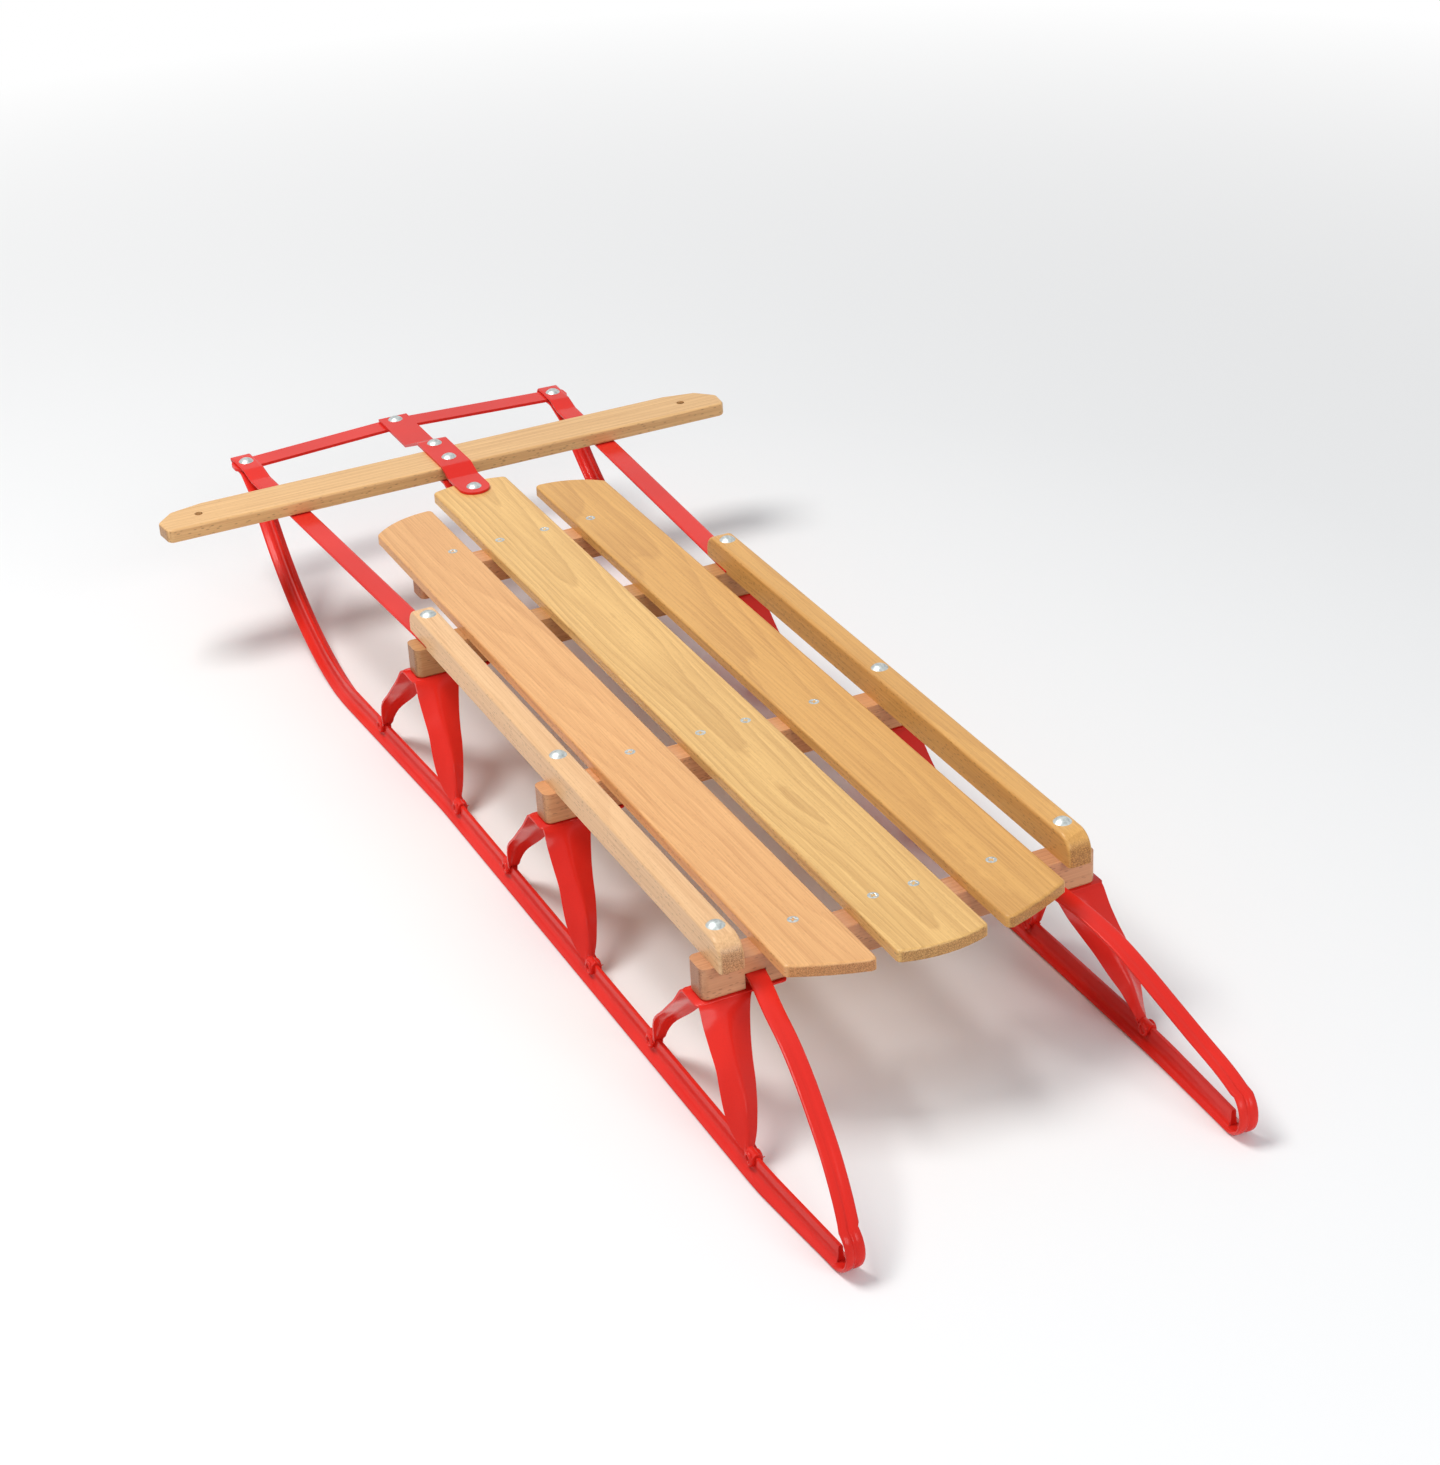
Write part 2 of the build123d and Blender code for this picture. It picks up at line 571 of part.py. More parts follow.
for side in SIDES:
    # Side rails lie on the crossbeams, and over the strips' ends at the front
    with BuildPart() as rail:
        with BuildSketch(Plane.YZ.offset(RAIL_X)):
            with BuildLine():
                Polyline(
                    (RAIL_FRONT, STRIP_TOP),
                    (RAIL_FRONT, RAIL_TOP),
                    (RAIL_REAR, RAIL_TOP),
                    (RAIL_REAR, BEAM_TOP),
                    (FRONT_LAP + OVER, BEAM_TOP),
                    (FRONT_LAP + OVER, STRIP_TOP),
                    close=True,
                )
            make_face()
            fillet(vertices().group_by(Axis.Y)[-1], RAIL_ROUND)
        extrude(amount=RAIL_W / 2, both=True)
        for flank in (faces().group_by(Axis.X)[0], faces().group_by(Axis.X)[-1]):
            fillet(flank.edges().filter_by(lambda e: e.center().Z > RAIL_TOP - RAIL_ROUND / 2), RAIL_EASE)
        bore([(RAIL_X, y) for y in BOLT_ROWS], BEAM_TOP - OVER, RAIL_TOP + OVER, BOLT_R + FIT)
        flip(side)
    keep(rail, f"rail_{side}")

    with BuildPart() as rail_bolts:
        for y in BOLT_ROWS:
            bolt(RAIL_X, y, RAIL_TOP, FLANGE_LOW)
        flip(side)
    keep(rail_bolts, f"rail_bolts_{side}")

    # The nose that the steering flexes, the strip's fixed end and the runner's fixed rear part
    with BuildPart() as nose:
        flat(STRIP_PLANE, STRIP_ROUTE, STRIP_RADII)
        flat(NECK_PLANE, NECK_ROUTE, NECK_RADII)
        rolled(NECK_PLANE, TOE_ROUTE, TOE_RADII)
        rolled(SPLAY_PLANE, SPLAY_ROUTE, [])
        front_part()
        bore([(RUNNER_X, CORNER_Y)], CURL_LOW - OVER, STRIP_TOP + OVER, BOLT_R + FIT)
        flip(side)
    keep(nose, f"nose_{side}")

    with BuildPart() as strap:
        flat(STRIP_PLANE, STRIP_ROUTE, STRIP_RADII)
        rear_part()
        bore([(RAIL_X, BOLT_ROWS[0])], BEAM_TOP - OVER, STRIP_TOP + OVER, BOLT_R + FIT)
        flip(side)
    keep(strap, f"strap_{side}")

    with BuildPart() as runner:
        rolled(SPLAY_PLANE, SPLAY_ROUTE, [])
        rear_part()
        rolled(RUNNER_PLANE, RUNNER_ROUTE, [])
        shoe(HEEL_PLANE, HEEL_ROUTE, HEEL_RADII)
        narrowed()
        rib(HEEL_PLANE, [(0, 0), (HEEL_RIB, 0)], [])
        returning()
        rivet_holes(ALL_FEET)
        flip(side)
    keep(runner, f"runner_{side}")

    # Knees: a flange under the crossbeam, a folded leg behind, a folded arm ahead and a clip on each foot
    for name, beam_y in BEAMS.items():
        leg_y, arm_y = FEET[name]
        with BuildPart() as knee:
            with BuildSketch(Plane.XY.offset(FLANGE_LOW)):
                with Locations(((FLANGE_IN + FLANGE_OUT) / 2, beam_y)):
                    RectangleRounded(FLANGE_OUT - FLANGE_IN, BEAM_W + 2 * FLANGE_EDGE, FLANGE_CORNER)
            extrude(amount=SHEET)
            folded(LEG, beam_y, 1, leg_y - beam_y)
            folded(ARM, beam_y, -1, beam_y - arm_y)
            clip(leg_y)
            clip(arm_y)
            rivet_holes([leg_y, arm_y])
            bore([(RAIL_X, beam_y - BOLT_AHEAD)], FLANGE_LOW - OVER, BEAM_LOW + OVER, BOLT_R + FIT)
            flip(side)
        keep(knee, f"knee_{name}_{side}")

    with BuildPart() as rivets:
        half = RIB_W / 2 + CLIP_CLEAR + SHEET
        for y in ALL_FEET:
            with BuildSketch(foot_plane(y)):
                with Locations((0, RIVET_Z)):
                    Circle(RIVET_R)
            extrude(amount=half, both=True)
            with BuildSketch(foot_plane(y).offset(half), foot_plane(y).offset(-half - RIVET_HEAD_T)):
                with Locations((0, RIVET_Z)):
                    Circle(RIVET_HEAD_R)
            extrude(amount=RIVET_HEAD_T)
        flip(side)
    keep(rivets, f"rivets_{side}")

    with BuildPart() as corner_bolt:
        bolt(RUNNER_X, CORNER_Y, STRIP_TOP, CURL_LOW - FIT)
        flip(side)
    keep(corner_bolt, f"corner_bolt_{side}")

# Bumper: a flat bar with a shallow kink forward, under the strips' corners
with BuildPart() as bumper:
    half = BUMPER_W / 2
    end_x = RUNNER_X + BUMPER_OVER
    apex_y = CORNER_Y - BUMPER_KINK
    with BuildSketch(Plane.XY.offset(BUMPER_LOW)):
        with BuildLine():
            Polyline(
                (-end_x, CORNER_Y - half),
                (0, apex_y - half),
                (end_x, CORNER_Y - half),
                (end_x, CORNER_Y + half),
                (0, apex_y + half),
                (-end_x, CORNER_Y + half),
                close=True,
            )
        make_face()
        fillet(vertices().group_by(Axis.X)[0] + vertices().group_by(Axis.X)[-1], BUMPER_CORNER)
    extrude(amount=BUMPER_T)
    bore([(RUNNER_X, CORNER_Y)], BUMPER_LOW - OVER, BUMPER_TOP + OVER, BOLT_R + FIT)
    bore([(-RUNNER_X, CORNER_Y)], BUMPER_LOW - OVER, BUMPER_TOP + OVER, BOLT_R + SLIDE)
    bore([(0, BUMPER_BOLT_Y)], BUMPER_LOW - OVER, BUMPER_TOP + OVER, BOLT_R + OPEN_PIVOT)
keep(bumper, "bumper")

# Steering bar: slightly tapered in plan, blunt ends, a rope hole near each end
with BuildPart() as steering_bar:
    outline = [
        (0, BAR_FRONT),
        (BAR_TAPER_X, BAR_FRONT + BAR_TAPER),
        (BAR_SHOULDER_X, BAR_FRONT + BAR_SHOULDER),
        (BAR_HALF, BAR_FRONT + BAR_NOSE),
        (BAR_HALF - BAR_TAIL, BAR_REAR),
    ]
    with BuildSketch(Plane.XY.offset(BAR_LOW)):
        with BuildLine():
            Polyline(*outline, *[(-x, y) for x, y in reversed(outline[1:])], close=True)
        make_face()
        fillet(vertices().filter_by(lambda v: abs(v.X) > ROPE_X), BAR_CORNER)
    extrude(amount=BAR_T)
    fillet(faces().sort_by(Axis.Z)[-1].edges(), BAR_EASE)
    fillet(faces().sort_by(Axis.Z)[0].edges(), BAR_EASE)
    bore([(0, MIDDLE_BOLT_Y)], BAR_LOW - OVER, BAR_TOP + OVER, BOLT_R + FIT)
    bore([(-ROPE_X, ROPE_Y), (ROPE_X, ROPE_Y)], BAR_LOW - OVER, BAR_TOP + OVER, ROPE_R)
keep(steering_bar, "steering_bar")

# Steering plates: the upper one climbs from the bumper over the bar and steps down to the pivot on the slat,
# the lower one passes under the bar and under the slat
UPPER_ROUTE = [
    (BUMPER_BOLT_Y - PLATE_LIP, BEAM_TOP),
    (BAR_FRONT - RAMP_AHEAD - RAMP_RUN, BEAM_TOP),
    (BAR_FRONT - RAMP_AHEAD, BAR_TOP),
    (BAR_REAR + STEP_START, BAR_TOP),
    (BAR_REAR + STEP_START + STEP_RUN, DECK_TOP + SLIDE),
    (PIVOT_Y + PLATE_W / 2, DECK_TOP + SLIDE),
]
LOWER_ROUTE = [
    (FRONT_BOLT_Y - PLATE_LIP, BAR_LOW - STRIP_T),
    (BAR_REAR + STEP_START, BAR_LOW - STRIP_T),
    (BAR_REAR + STEP_START + LOWER_STEP, BEAM_TOP - SLIDE - STRIP_T),
    (PIVOT_Y + PLATE_W / 2, BEAM_TOP - SLIDE - STRIP_T),
]
BAR_BOLTS = [(0, MIDDLE_BOLT_Y), (0, FRONT_BOLT_Y)]
for name, route, places in (
    ("steering_plate_upper", UPPER_ROUTE, [(0, PIVOT_Y), (0, BUMPER_BOLT_Y)] + BAR_BOLTS),
    ("steering_plate_lower", LOWER_ROUTE, [(0, PIVOT_Y)] + BAR_BOLTS),
):
    with BuildPart() as plate:
        with BuildSketch(Plane.YZ):
            band(route, [PLATE_BEND] * len(route[1:-1]), 0, STRIP_T)
        extrude(amount=PLATE_W / 2, both=True)
        with BuildSketch(Plane.XY.offset(BEAM_LOW)):
            with Locations((0, PIVOT_Y)):
                Rectangle(PLATE_W, BAR_HALF, align=(Align.CENTER, Align.MAX))
                Circle(PLATE_W / 2)
        extrude(amount=PLATE_TOP + OVER - BEAM_LOW, mode=Mode.INTERSECT)
        bore(places, BEAM_LOW, PLATE_TOP + OVER, BOLT_R + FIT)
    keep(plate, name)

for name, y, under_head, nut_top in (
    ("pivot_bolt", PIVOT_Y, DECK_TOP + SLIDE + STRIP_T + FIT, BEAM_TOP - SLIDE - STRIP_T - FIT),
    ("bar_bolt_middle", MIDDLE_BOLT_Y, PLATE_TOP, BAR_LOW - STRIP_T),
    ("bar_bolt_front", FRONT_BOLT_Y, PLATE_TOP, BAR_LOW - STRIP_T),
    ("bumper_bolt", BUMPER_BOLT_Y, BEAM_TOP + STRIP_T, BUMPER_LOW - SLIDE),
):
    with BuildPart() as fastener:
        bolt(0, y, under_head, nut_top)
    keep(fastener, name)
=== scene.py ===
"""Looks of the wooden runner sled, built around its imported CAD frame. Lengths in tables are millimetres."""

import math

import bpy
from mathutils import Matrix, Vector


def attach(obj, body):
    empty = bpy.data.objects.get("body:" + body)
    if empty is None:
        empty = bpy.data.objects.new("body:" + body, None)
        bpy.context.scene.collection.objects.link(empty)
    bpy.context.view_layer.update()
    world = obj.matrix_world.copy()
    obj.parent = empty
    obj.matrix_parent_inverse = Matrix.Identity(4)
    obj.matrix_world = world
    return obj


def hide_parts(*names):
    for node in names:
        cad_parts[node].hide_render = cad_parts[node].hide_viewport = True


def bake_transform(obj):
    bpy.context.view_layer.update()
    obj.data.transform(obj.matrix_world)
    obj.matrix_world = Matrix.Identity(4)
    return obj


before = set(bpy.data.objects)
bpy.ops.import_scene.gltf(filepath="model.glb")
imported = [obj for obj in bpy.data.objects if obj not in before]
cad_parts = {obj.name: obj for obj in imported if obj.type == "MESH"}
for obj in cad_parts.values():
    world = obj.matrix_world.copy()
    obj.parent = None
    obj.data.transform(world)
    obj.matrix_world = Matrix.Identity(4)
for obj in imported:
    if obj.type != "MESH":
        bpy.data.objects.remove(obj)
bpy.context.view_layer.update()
MM = 0.001
SIDES = {"left": 1, "right": -1}
WHITE = (1.0, 1.0, 1.0)
BLACK = (0.0, 0.0, 0.0)


# Node helpers
def new_material(name):
    """An empty material with its output and its shader."""
    mat = bpy.data.materials.new(name)
    mat.use_nodes = True
    tree = mat.node_tree
    tree.nodes.clear()
    out = tree.nodes.new("ShaderNodeOutputMaterial")
    shader = tree.nodes.new("ShaderNodeBsdfPrincipled")
    tree.links.new(shader.outputs[0], out.inputs[0])
    return mat, tree, shader


def node(tree, kind, inputs=None, **props):
    """A node with its properties set and its inputs linked or filled in."""
    made = tree.nodes.new(kind)
    for key, value in props.items():
        setattr(made, key, value)
    for key, value in (inputs or {}).items():
        socket = made.inputs[key]
        if isinstance(value, bpy.types.NodeSocket):
            tree.links.new(value, socket)
        else:
            socket.default_value = value
    return made


def ramp(tree, fac, stops):
    """Colours between stops of (place, colour)."""
    made = node(tree, "ShaderNodeValToRGB", {"Fac": fac})
    elements = made.color_ramp.elements
    while len(elements) < len(stops):
        elements.new(0.5)
    for element, (place, color) in zip(elements, stops):
        element.position = place
        element.color = (*color, 1.0)
    return made.outputs[0]


def mix(tree, fac, a, b, blend="MIX"):
    """Two colours mixed by a share."""
    made = node(tree, "ShaderNodeMix", data_type="RGBA", blend_type=blend)
    made.clamp_factor = True
    for socket, value in ((made.inputs[0], fac), (made.inputs[6], a), (made.inputs[7], b)):
        if isinstance(value, bpy.types.NodeSocket):
            tree.links.new(value, socket)
        elif isinstance(value, tuple):
            socket.default_value = (*value, 1.0)
        else:
            socket.default_value = value
    return made.outputs[2]


def maths(tree, operation, a, b=None):
    """One step of arithmetic."""
    inputs = {0: a} if b is None else {0: a, 1: b}
    return node(tree, "ShaderNodeMath", inputs, operation=operation).outputs[0]


def spread(tree, value, low, high, to_low=0.0, to_high=1.0):
    """A value's range stretched to another one."""
    inputs = {"Value": value, "From Min": low, "From Max": high, "To Min": to_low, "To Max": to_high}
    return node(tree, "ShaderNodeMapRange", inputs).outputs[0]


def mapped(tree, vector, place, scale):
    """Coordinates moved and stretched."""
    return node(tree, "ShaderNodeMapping", {"Vector": vector, "Location": place, "Scale": scale}).outputs[0]


def noise(tree, vector, detail, scale=1.0):
    """Cloudy noise."""
    return node(tree, "ShaderNodeTexNoise", {"Vector": vector, "Scale": scale, "Detail": detail}).outputs[0]


def set_bump(tree, shader, height, strength, distance):
    """Relief of a shader, its distance in metres."""
    bump = node(tree, "ShaderNodeBump", {"Height": height, "Strength": strength, "Distance": distance})
    tree.links.new(bump.outputs[0], shader.inputs["Normal"])


def scaled(color, share):
    """A colour made darker or lighter, up to white."""
    return tuple(min(1.0, share * c) for c in color)


# Varnished beech
RING_SCALE = 314.0
RING_TILT = (0.012, 0.0, 0.006)
WANDER = 0.05
# How fine each pattern is across the board, along its grain and up, per metre
WANDER_FINE = (6.0, 0.9, 6.0)
SLOW_FINE = (9.0, 1.6, 9.0)
FIBRE_FINE = (900.0, 14.0, 900.0)
STREAK_FINE = (330.0, 5.0, 330.0)
FLECK_FINE = (420.0, 130.0, 420.0)
PORE_FINE = 1400.0


def growth_rings(tree, along_grain, pith, seed, spacing):
    """Yearly rings about a pith line that lies off the piece, wandering along the board."""
    stretched = mapped(tree, along_grain, (seed * 1.7, seed * 0.9, seed * 2.3), WANDER_FINE)
    wander = node(
        tree, "ShaderNodeTexNoise", {"Vector": stretched, "Scale": 1.0, "Detail": 3.0, "Roughness": 0.55}
    )
    centred = node(
        tree, "ShaderNodeVectorMath", {0: wander.outputs["Color"], 1: (0.5, 0.5, 0.5)}, operation="SUBTRACT"
    ).outputs[0]
    offset = node(tree, "ShaderNodeVectorMath", {0: centred, "Scale": WANDER}, operation="SCALE").outputs[0]
    moved = node(tree, "ShaderNodeVectorMath", {0: along_grain, 1: offset}, operation="ADD").outputs[0]
    placed = node(
        tree, "ShaderNodeMapping",
        {"Vector": moved, "Location": (pith[0] * MM, 0.0, pith[1] * MM), "Rotation": RING_TILT},
    ).outputs[0]
    return node(
        tree, "ShaderNodeTexWave",
        {"Vector": placed, "Scale": RING_SCALE / spacing, "Distortion": 0.6, "Detail": 2.0,
         "Detail Scale": 0.6, "Detail Roughness": 0.6},
        wave_type="RINGS", rings_direction="Y", wave_profile="SAW",
    ).outputs["Fac"]


def ray_flecks(tree, along_grain, normal, seed, amount):
    """A mask of short flecks, stronger on upright faces than on top."""
    at = mapped(tree, along_grain, (0.0, seed, seed), FLECK_FINE)
    cells = node(tree, "ShaderNodeTexVoronoi", {"Vector": at, "Scale": 1.0, "Randomness": 1.0})
    mask = ramp(tree, cells.outputs["Distance"], [(0.16, WHITE), (0.28, BLACK)])
    flat = maths(tree, "ABSOLUTE", normal.outputs["Z"])
    on_sides = spread(tree, flat, 0.3, 0.9, 0.9, 0.22)
    return maths(tree, "MULTIPLY", mask, maths(tree, "MULTIPLY", on_sides, amount))


def wood(name, tones, pith, seed, spacing=5.0, along="Y", contrast=0.55, fleck=0.5):
    """Rings, fibre lines, streaks, ray flecks and darker end grain under a thin varnish."""
    light, dark = tones
    mat, tree, shader = new_material(name)
    coords = node(tree, "ShaderNodeTexCoord").outputs["Object"]
    turn = (0.0, 0.0, math.radians(90) if along == "X" else 0.0)
    along_grain = node(tree, "ShaderNodeMapping", {"Vector": coords, "Rotation": turn}).outputs[0]

    rings = growth_rings(tree, along_grain, pith, seed, spacing)
    between = tuple(0.6 * a + 0.4 * b for a, b in zip(light, dark))
    tone = ramp(tree, rings, [(0.0, light), (0.55, between), (0.93, dark), (1.0, light)])
    base = mix(tree, contrast, light, tone)

    # Broad, slow change of tone along the board
    slow = noise(tree, mapped(tree, along_grain, (seed, seed * 0.3, 0.0), SLOW_FINE), detail=2.0)
    base = mix(tree, 0.45, base, ramp(tree, slow, [(0.3, scaled(light, 0.9)), (0.7, scaled(light, 1.06))]))

    # Fine fibre lines and longer streaks
    fibre = noise(tree, mapped(tree, along_grain, (seed, 0.0, seed), FIBRE_FINE), detail=3.0)
    fibre_tone = ramp(tree, fibre, [(0.35, (0.80, 0.74, 0.68)), (0.62, WHITE)])
    base = mix(tree, 0.6, base, fibre_tone, "MULTIPLY")
    streaks = noise(tree, mapped(tree, along_grain, (0.0, seed, -seed), STREAK_FINE), detail=2.0)
    streak_tone = ramp(tree, streaks, [(0.34, (0.74, 0.64, 0.55)), (0.52, WHITE)])
    base = mix(tree, 0.26, base, streak_tone, "MULTIPLY")

    normal = node(tree, "ShaderNodeSeparateXYZ", {0: node(tree, "ShaderNodeNewGeometry").outputs["Normal"]})
    base = mix(tree, ray_flecks(tree, along_grain, normal, seed, fleck), base, scaled(dark, 0.45))

    # End grain takes up more varnish: darker, redder and speckled
    end_mask = spread(tree, maths(tree, "ABSOLUTE", normal.outputs[along]), 0.72, 0.95)
    pores = noise(tree, coords, detail=2.0, scale=PORE_FINE)
    end_tone = ramp(tree, pores, [(0.38, (0.42, 0.34, 0.30)), (0.6, (0.82, 0.72, 0.66))])
    base = mix(tree, end_mask, base, mix(tree, 1.0, base, end_tone, "MULTIPLY"))

    tree.links.new(base, shader.inputs["Base Color"])
    shader.inputs["Roughness"].default_value = 0.42
    shader.inputs["Specular IOR Level"].default_value = 0.3
    shader.inputs["Coat Weight"].default_value = 0.14
    shader.inputs["Coat Roughness"].default_value = 0.18
    set_bump(tree, shader, mix(tree, 0.5, fibre, rings), strength=0.12, distance=0.0006)
    return mat


def paint(name, color, dark):
    """Glossy enamel with a faint orange peel, fine dust and a slow change of tone."""
    mat, tree, shader = new_material(name)
    coords = node(tree, "ShaderNodeTexCoord").outputs["Object"]
    tone = ramp(tree, noise(tree, coords, detail=2.0, scale=9.0), [(0.35, dark), (0.65, color)])
    specks = noise(tree, coords, detail=2.0, scale=900.0)
    dust = ramp(tree, specks, [(0.25, scaled(WHITE, 0.9)), (0.5, WHITE)])
    tree.links.new(mix(tree, 0.5, tone, dust, "MULTIPLY"), shader.inputs["Base Color"])
    worn = noise(tree, coords, detail=4.0, scale=45.0)
    tree.links.new(spread(tree, worn, 0.3, 0.7, 0.16, 0.27), shader.inputs["Roughness"])
    shader.inputs["Specular IOR Level"].default_value = 0.15
    shader.inputs["Coat Weight"].default_value = 0.04
    shader.inputs["Coat Roughness"].default_value = 0.05
    set_bump(tree, shader, noise(tree, coords, detail=1.0, scale=260.0), strength=0.03, distance=0.0003)
    return mat


def zinc(name):
    """Zinc plate with soft spangle and a few dull spots."""
    mat, tree, shader = new_material(name)
    coords = node(tree, "ShaderNodeTexCoord").outputs["Object"]
    cells = noise(tree, coords, detail=4.0, scale=350.0)
    tone = ramp(tree, cells, [(0.3, (0.34, 0.37, 0.37)), (0.65, (0.60, 0.64, 0.63))])
    tree.links.new(tone, shader.inputs["Base Color"])
    shader.inputs["Metallic"].default_value = 0.9
    tree.links.new(spread(tree, cells, 0.3, 0.7, 0.46, 0.32), shader.inputs["Roughness"])
    set_bump(tree, shader, cells, strength=0.1, distance=0.0003)
    return mat


# Tones of the woods: early wood, late wood
PINK = ((0.81, 0.445, 0.185), (0.56, 0.24, 0.085))
YELLOW = ((0.82, 0.515, 0.19), (0.50, 0.26, 0.075))
GOLD = ((0.74, 0.405, 0.12), (0.48, 0.22, 0.055))
PALE = ((0.80, 0.50, 0.225), (0.54, 0.275, 0.10))
ORANGE = ((0.70, 0.36, 0.17), (0.50, 0.21, 0.09))
BLUSH = ((0.83, 0.52, 0.27), (0.60, 0.30, 0.135))
# Darker tones of the front crossbeam: partly its own wood, partly painted shade, since it lies in shadow
# under the deck
BROWN_AND_SHADE = ((0.56, 0.29, 0.12), (0.38, 0.17, 0.06))
ROSE = ((0.62, 0.31, 0.16), (0.44, 0.18, 0.085))
MATS = {
    "slat_left": wood("slat_left_wood", PINK, pith=(-40.0, 30.0), seed=1.3, contrast=0.5),
    "slat_centre": wood("slat_centre_wood", YELLOW, pith=(8.0, -95.0), seed=4.1, spacing=3.2, contrast=0.75),
    "slat_right": wood("slat_right_wood", GOLD, pith=(60.0, 25.0), seed=7.7, contrast=0.6),
    "rail_left": wood("rail_left_wood", BLUSH, pith=(-190.0, 10.0), seed=2.9, contrast=0.35),
    "rail_right": wood("rail_right_wood", GOLD, pith=(190.0, 15.0), seed=5.3, contrast=0.5),
    "front_batten": wood("batten_wood", ORANGE, pith=(0.0, -60.0), seed=3.7, along="X"),
    # The front crossbeam's darker tones hold painted shade as well as its wood's own tone
    "crossbeam_front": wood("beam_front_wood_and_painted_shade", BROWN_AND_SHADE, pith=(100.0, -60.0), seed=6.1, along="X"),
    "crossbeam_middle": wood("beam_middle_wood", ORANGE, pith=(140.0, -60.0), seed=8.9, along="X"),
    "crossbeam_rear": wood("beam_rear_wood", ROSE, pith=(-440.0, -70.0), seed=9.7, along="X"),
    "steering_bar": wood(
        "bar_wood", PALE, pith=(560.0, -60.0), seed=0.7, spacing=7.0, along="X", contrast=0.7, fleck=0.6
    ),
    "red": paint("red_enamel", (0.74, 0.026, 0.017), (0.66, 0.020, 0.013)),
    # Near-black enamel that paints shade: the discs inside the rivets' hollows
    "shade": paint("painted_shade_in_rivet_hollows", (0.075, 0.006, 0.005), (0.05, 0.004, 0.004)),
    "zinc": zinc("zinc_plate"),
}


def dress_solids():
    """Gives each CAD node its wood, zinc or enamel."""
    for name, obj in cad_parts.items():
        if name in MATS:
            key = name
        elif "bolt" in name:
            key = "zinc"
        else:
            key = "red"
        obj.data.materials.clear()
        obj.data.materials.append(MATS[key])


# Mesh helpers
def make_mesh(name, verts, faces, material, body, angle, mirror=False):
    """A piece from millimetres, mirrored to the right where asked, on a body if one is named."""
    if mirror:
        verts = [(-x, y, z) for x, y, z in verts]
        faces = [tuple(reversed(f)) for f in faces]
    mesh = bpy.data.meshes.new(name)
    mesh.from_pydata([(x * MM, y * MM, z * MM) for x, y, z in verts], [], faces)
    mesh.validate()
    for poly in mesh.polygons:
        poly.use_smooth = True
    mesh.set_sharp_from_angle(angle=math.radians(angle))
    mesh.materials.append(material)
    obj = bpy.data.objects.new(name, mesh)
    bpy.context.scene.collection.objects.link(obj)
    if body:
        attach(obj, body)
    return obj


def rings_to_solid(rings):
    """Joins closed rings of equal length into a capped tube."""
    count = len(rings[0])
    verts = [tuple(p) for ring in rings for p in ring]
    faces = []
    for k in range(len(rings) - 1):
        for i in range(count):
            j = (i + 1) % count
            faces.append((k * count + i, k * count + j, (k + 1) * count + j, (k + 1) * count + i))
    faces.append(tuple(reversed(range(count))))
    faces.append(tuple((len(rings) - 1) * count + i for i in range(count)))
    return verts, faces


def lathe(profile, centre, axis, steps=28):
    """Turns (radius, height) points about an axis through a centre."""
    axis = Vector(axis).normalized()
    side = axis.orthogonal().normalized()
    other = axis.cross(side)
    rings = []
    for k in range(steps):
        angle = 2 * math.pi * k / steps
        out = side * math.cos(angle) + other * math.sin(angle)
        rings.append([Vector(centre) + out * r + axis * h for r, h in profile])
    verts = [tuple(p) for ring in rings for p in ring]
    count = len(profile)
    faces = []
    for k in range(steps):
        n = (k + 1) % steps
        for i in range(count - 1):
            faces.append((k * count + i, n * count + i, n * count + i + 1, k * count + i + 1))
    return verts, faces


def joined(parts):
    """Joins several (verts, faces) lists into one."""
    verts, faces = [], []
    for more_verts, more_faces in parts:
        base = len(verts)
        verts.extend(more_verts)
        faces.extend(tuple(base + i for i in f) for f in more_faces)
    return verts, faces


def smoothstep(x):
    """An eased way from 0 to 1."""
    x = min(1.0, max(0.0, x))
    return x * x * (3 - 2 * x)


def curve_at(a, b, c, d, t):
    """A smooth curve through a, b, c and d, at the share t between b and c."""
    square = (2 * a - 5 * b + 4 * c - d) * t * t
    cube = (3 * b - a - 3 * c + d) * t * t * t
    return 0.5 * (2 * b + (c - a) * t + square + cube)


def eased(rows, steps):
    """Rows with more between them, on a smooth curve through all."""
    filled = []
    last = len(rows) - 1
    for k in range(last):
        four = rows[max(0, k - 1)], rows[k], rows[k + 1], rows[min(last, k + 2)]
        for step in range(steps):
            filled.append([curve_at(*points, step / steps) for points in zip(*four)])
    return filled + [list(rows[-1])]


# Sizes shared with the CAD part; those that it works out are rounded here
DECK_TOP = 142.0
FLANGE_TOP = 104.0
STRIP_TOP = 134.5
STRIP_W = 21.0
STRIP_T = 2.5
RAIL_X = 149.0
RUNNER_X = 170.0
DIP_LOW = 130.0
DIP_R = 14.0
CORNER_Y = -645.5
CURL_LOW = 125.9
CURL_AHEAD = 20.5
NECK_BEHIND = 14.0
NECK_R = 12.0
BEND_Y = -606.0
BEND_Z = 114.9
BEND_R = 22.0
TOE_R = 340.0
SPLAY_Y = -100.0
TURN_Y = -344.8
TOE_OUT = 9.5
HEEL_START = 545.0
HEEL_IN = 0.055
HEEL_NARROW = 95.0
HEEL_HALF = 8.0
HEEL_R = 21.5
SHOE_HALF = 10.0
RETURN_W = 16.0
BEAMS = {"front": -167.0, "middle": 133.0, "rear": 433.0}
STRIP_SLOPE = (RAIL_X - RUNNER_X) / (BEAMS["front"] - CORNER_Y)


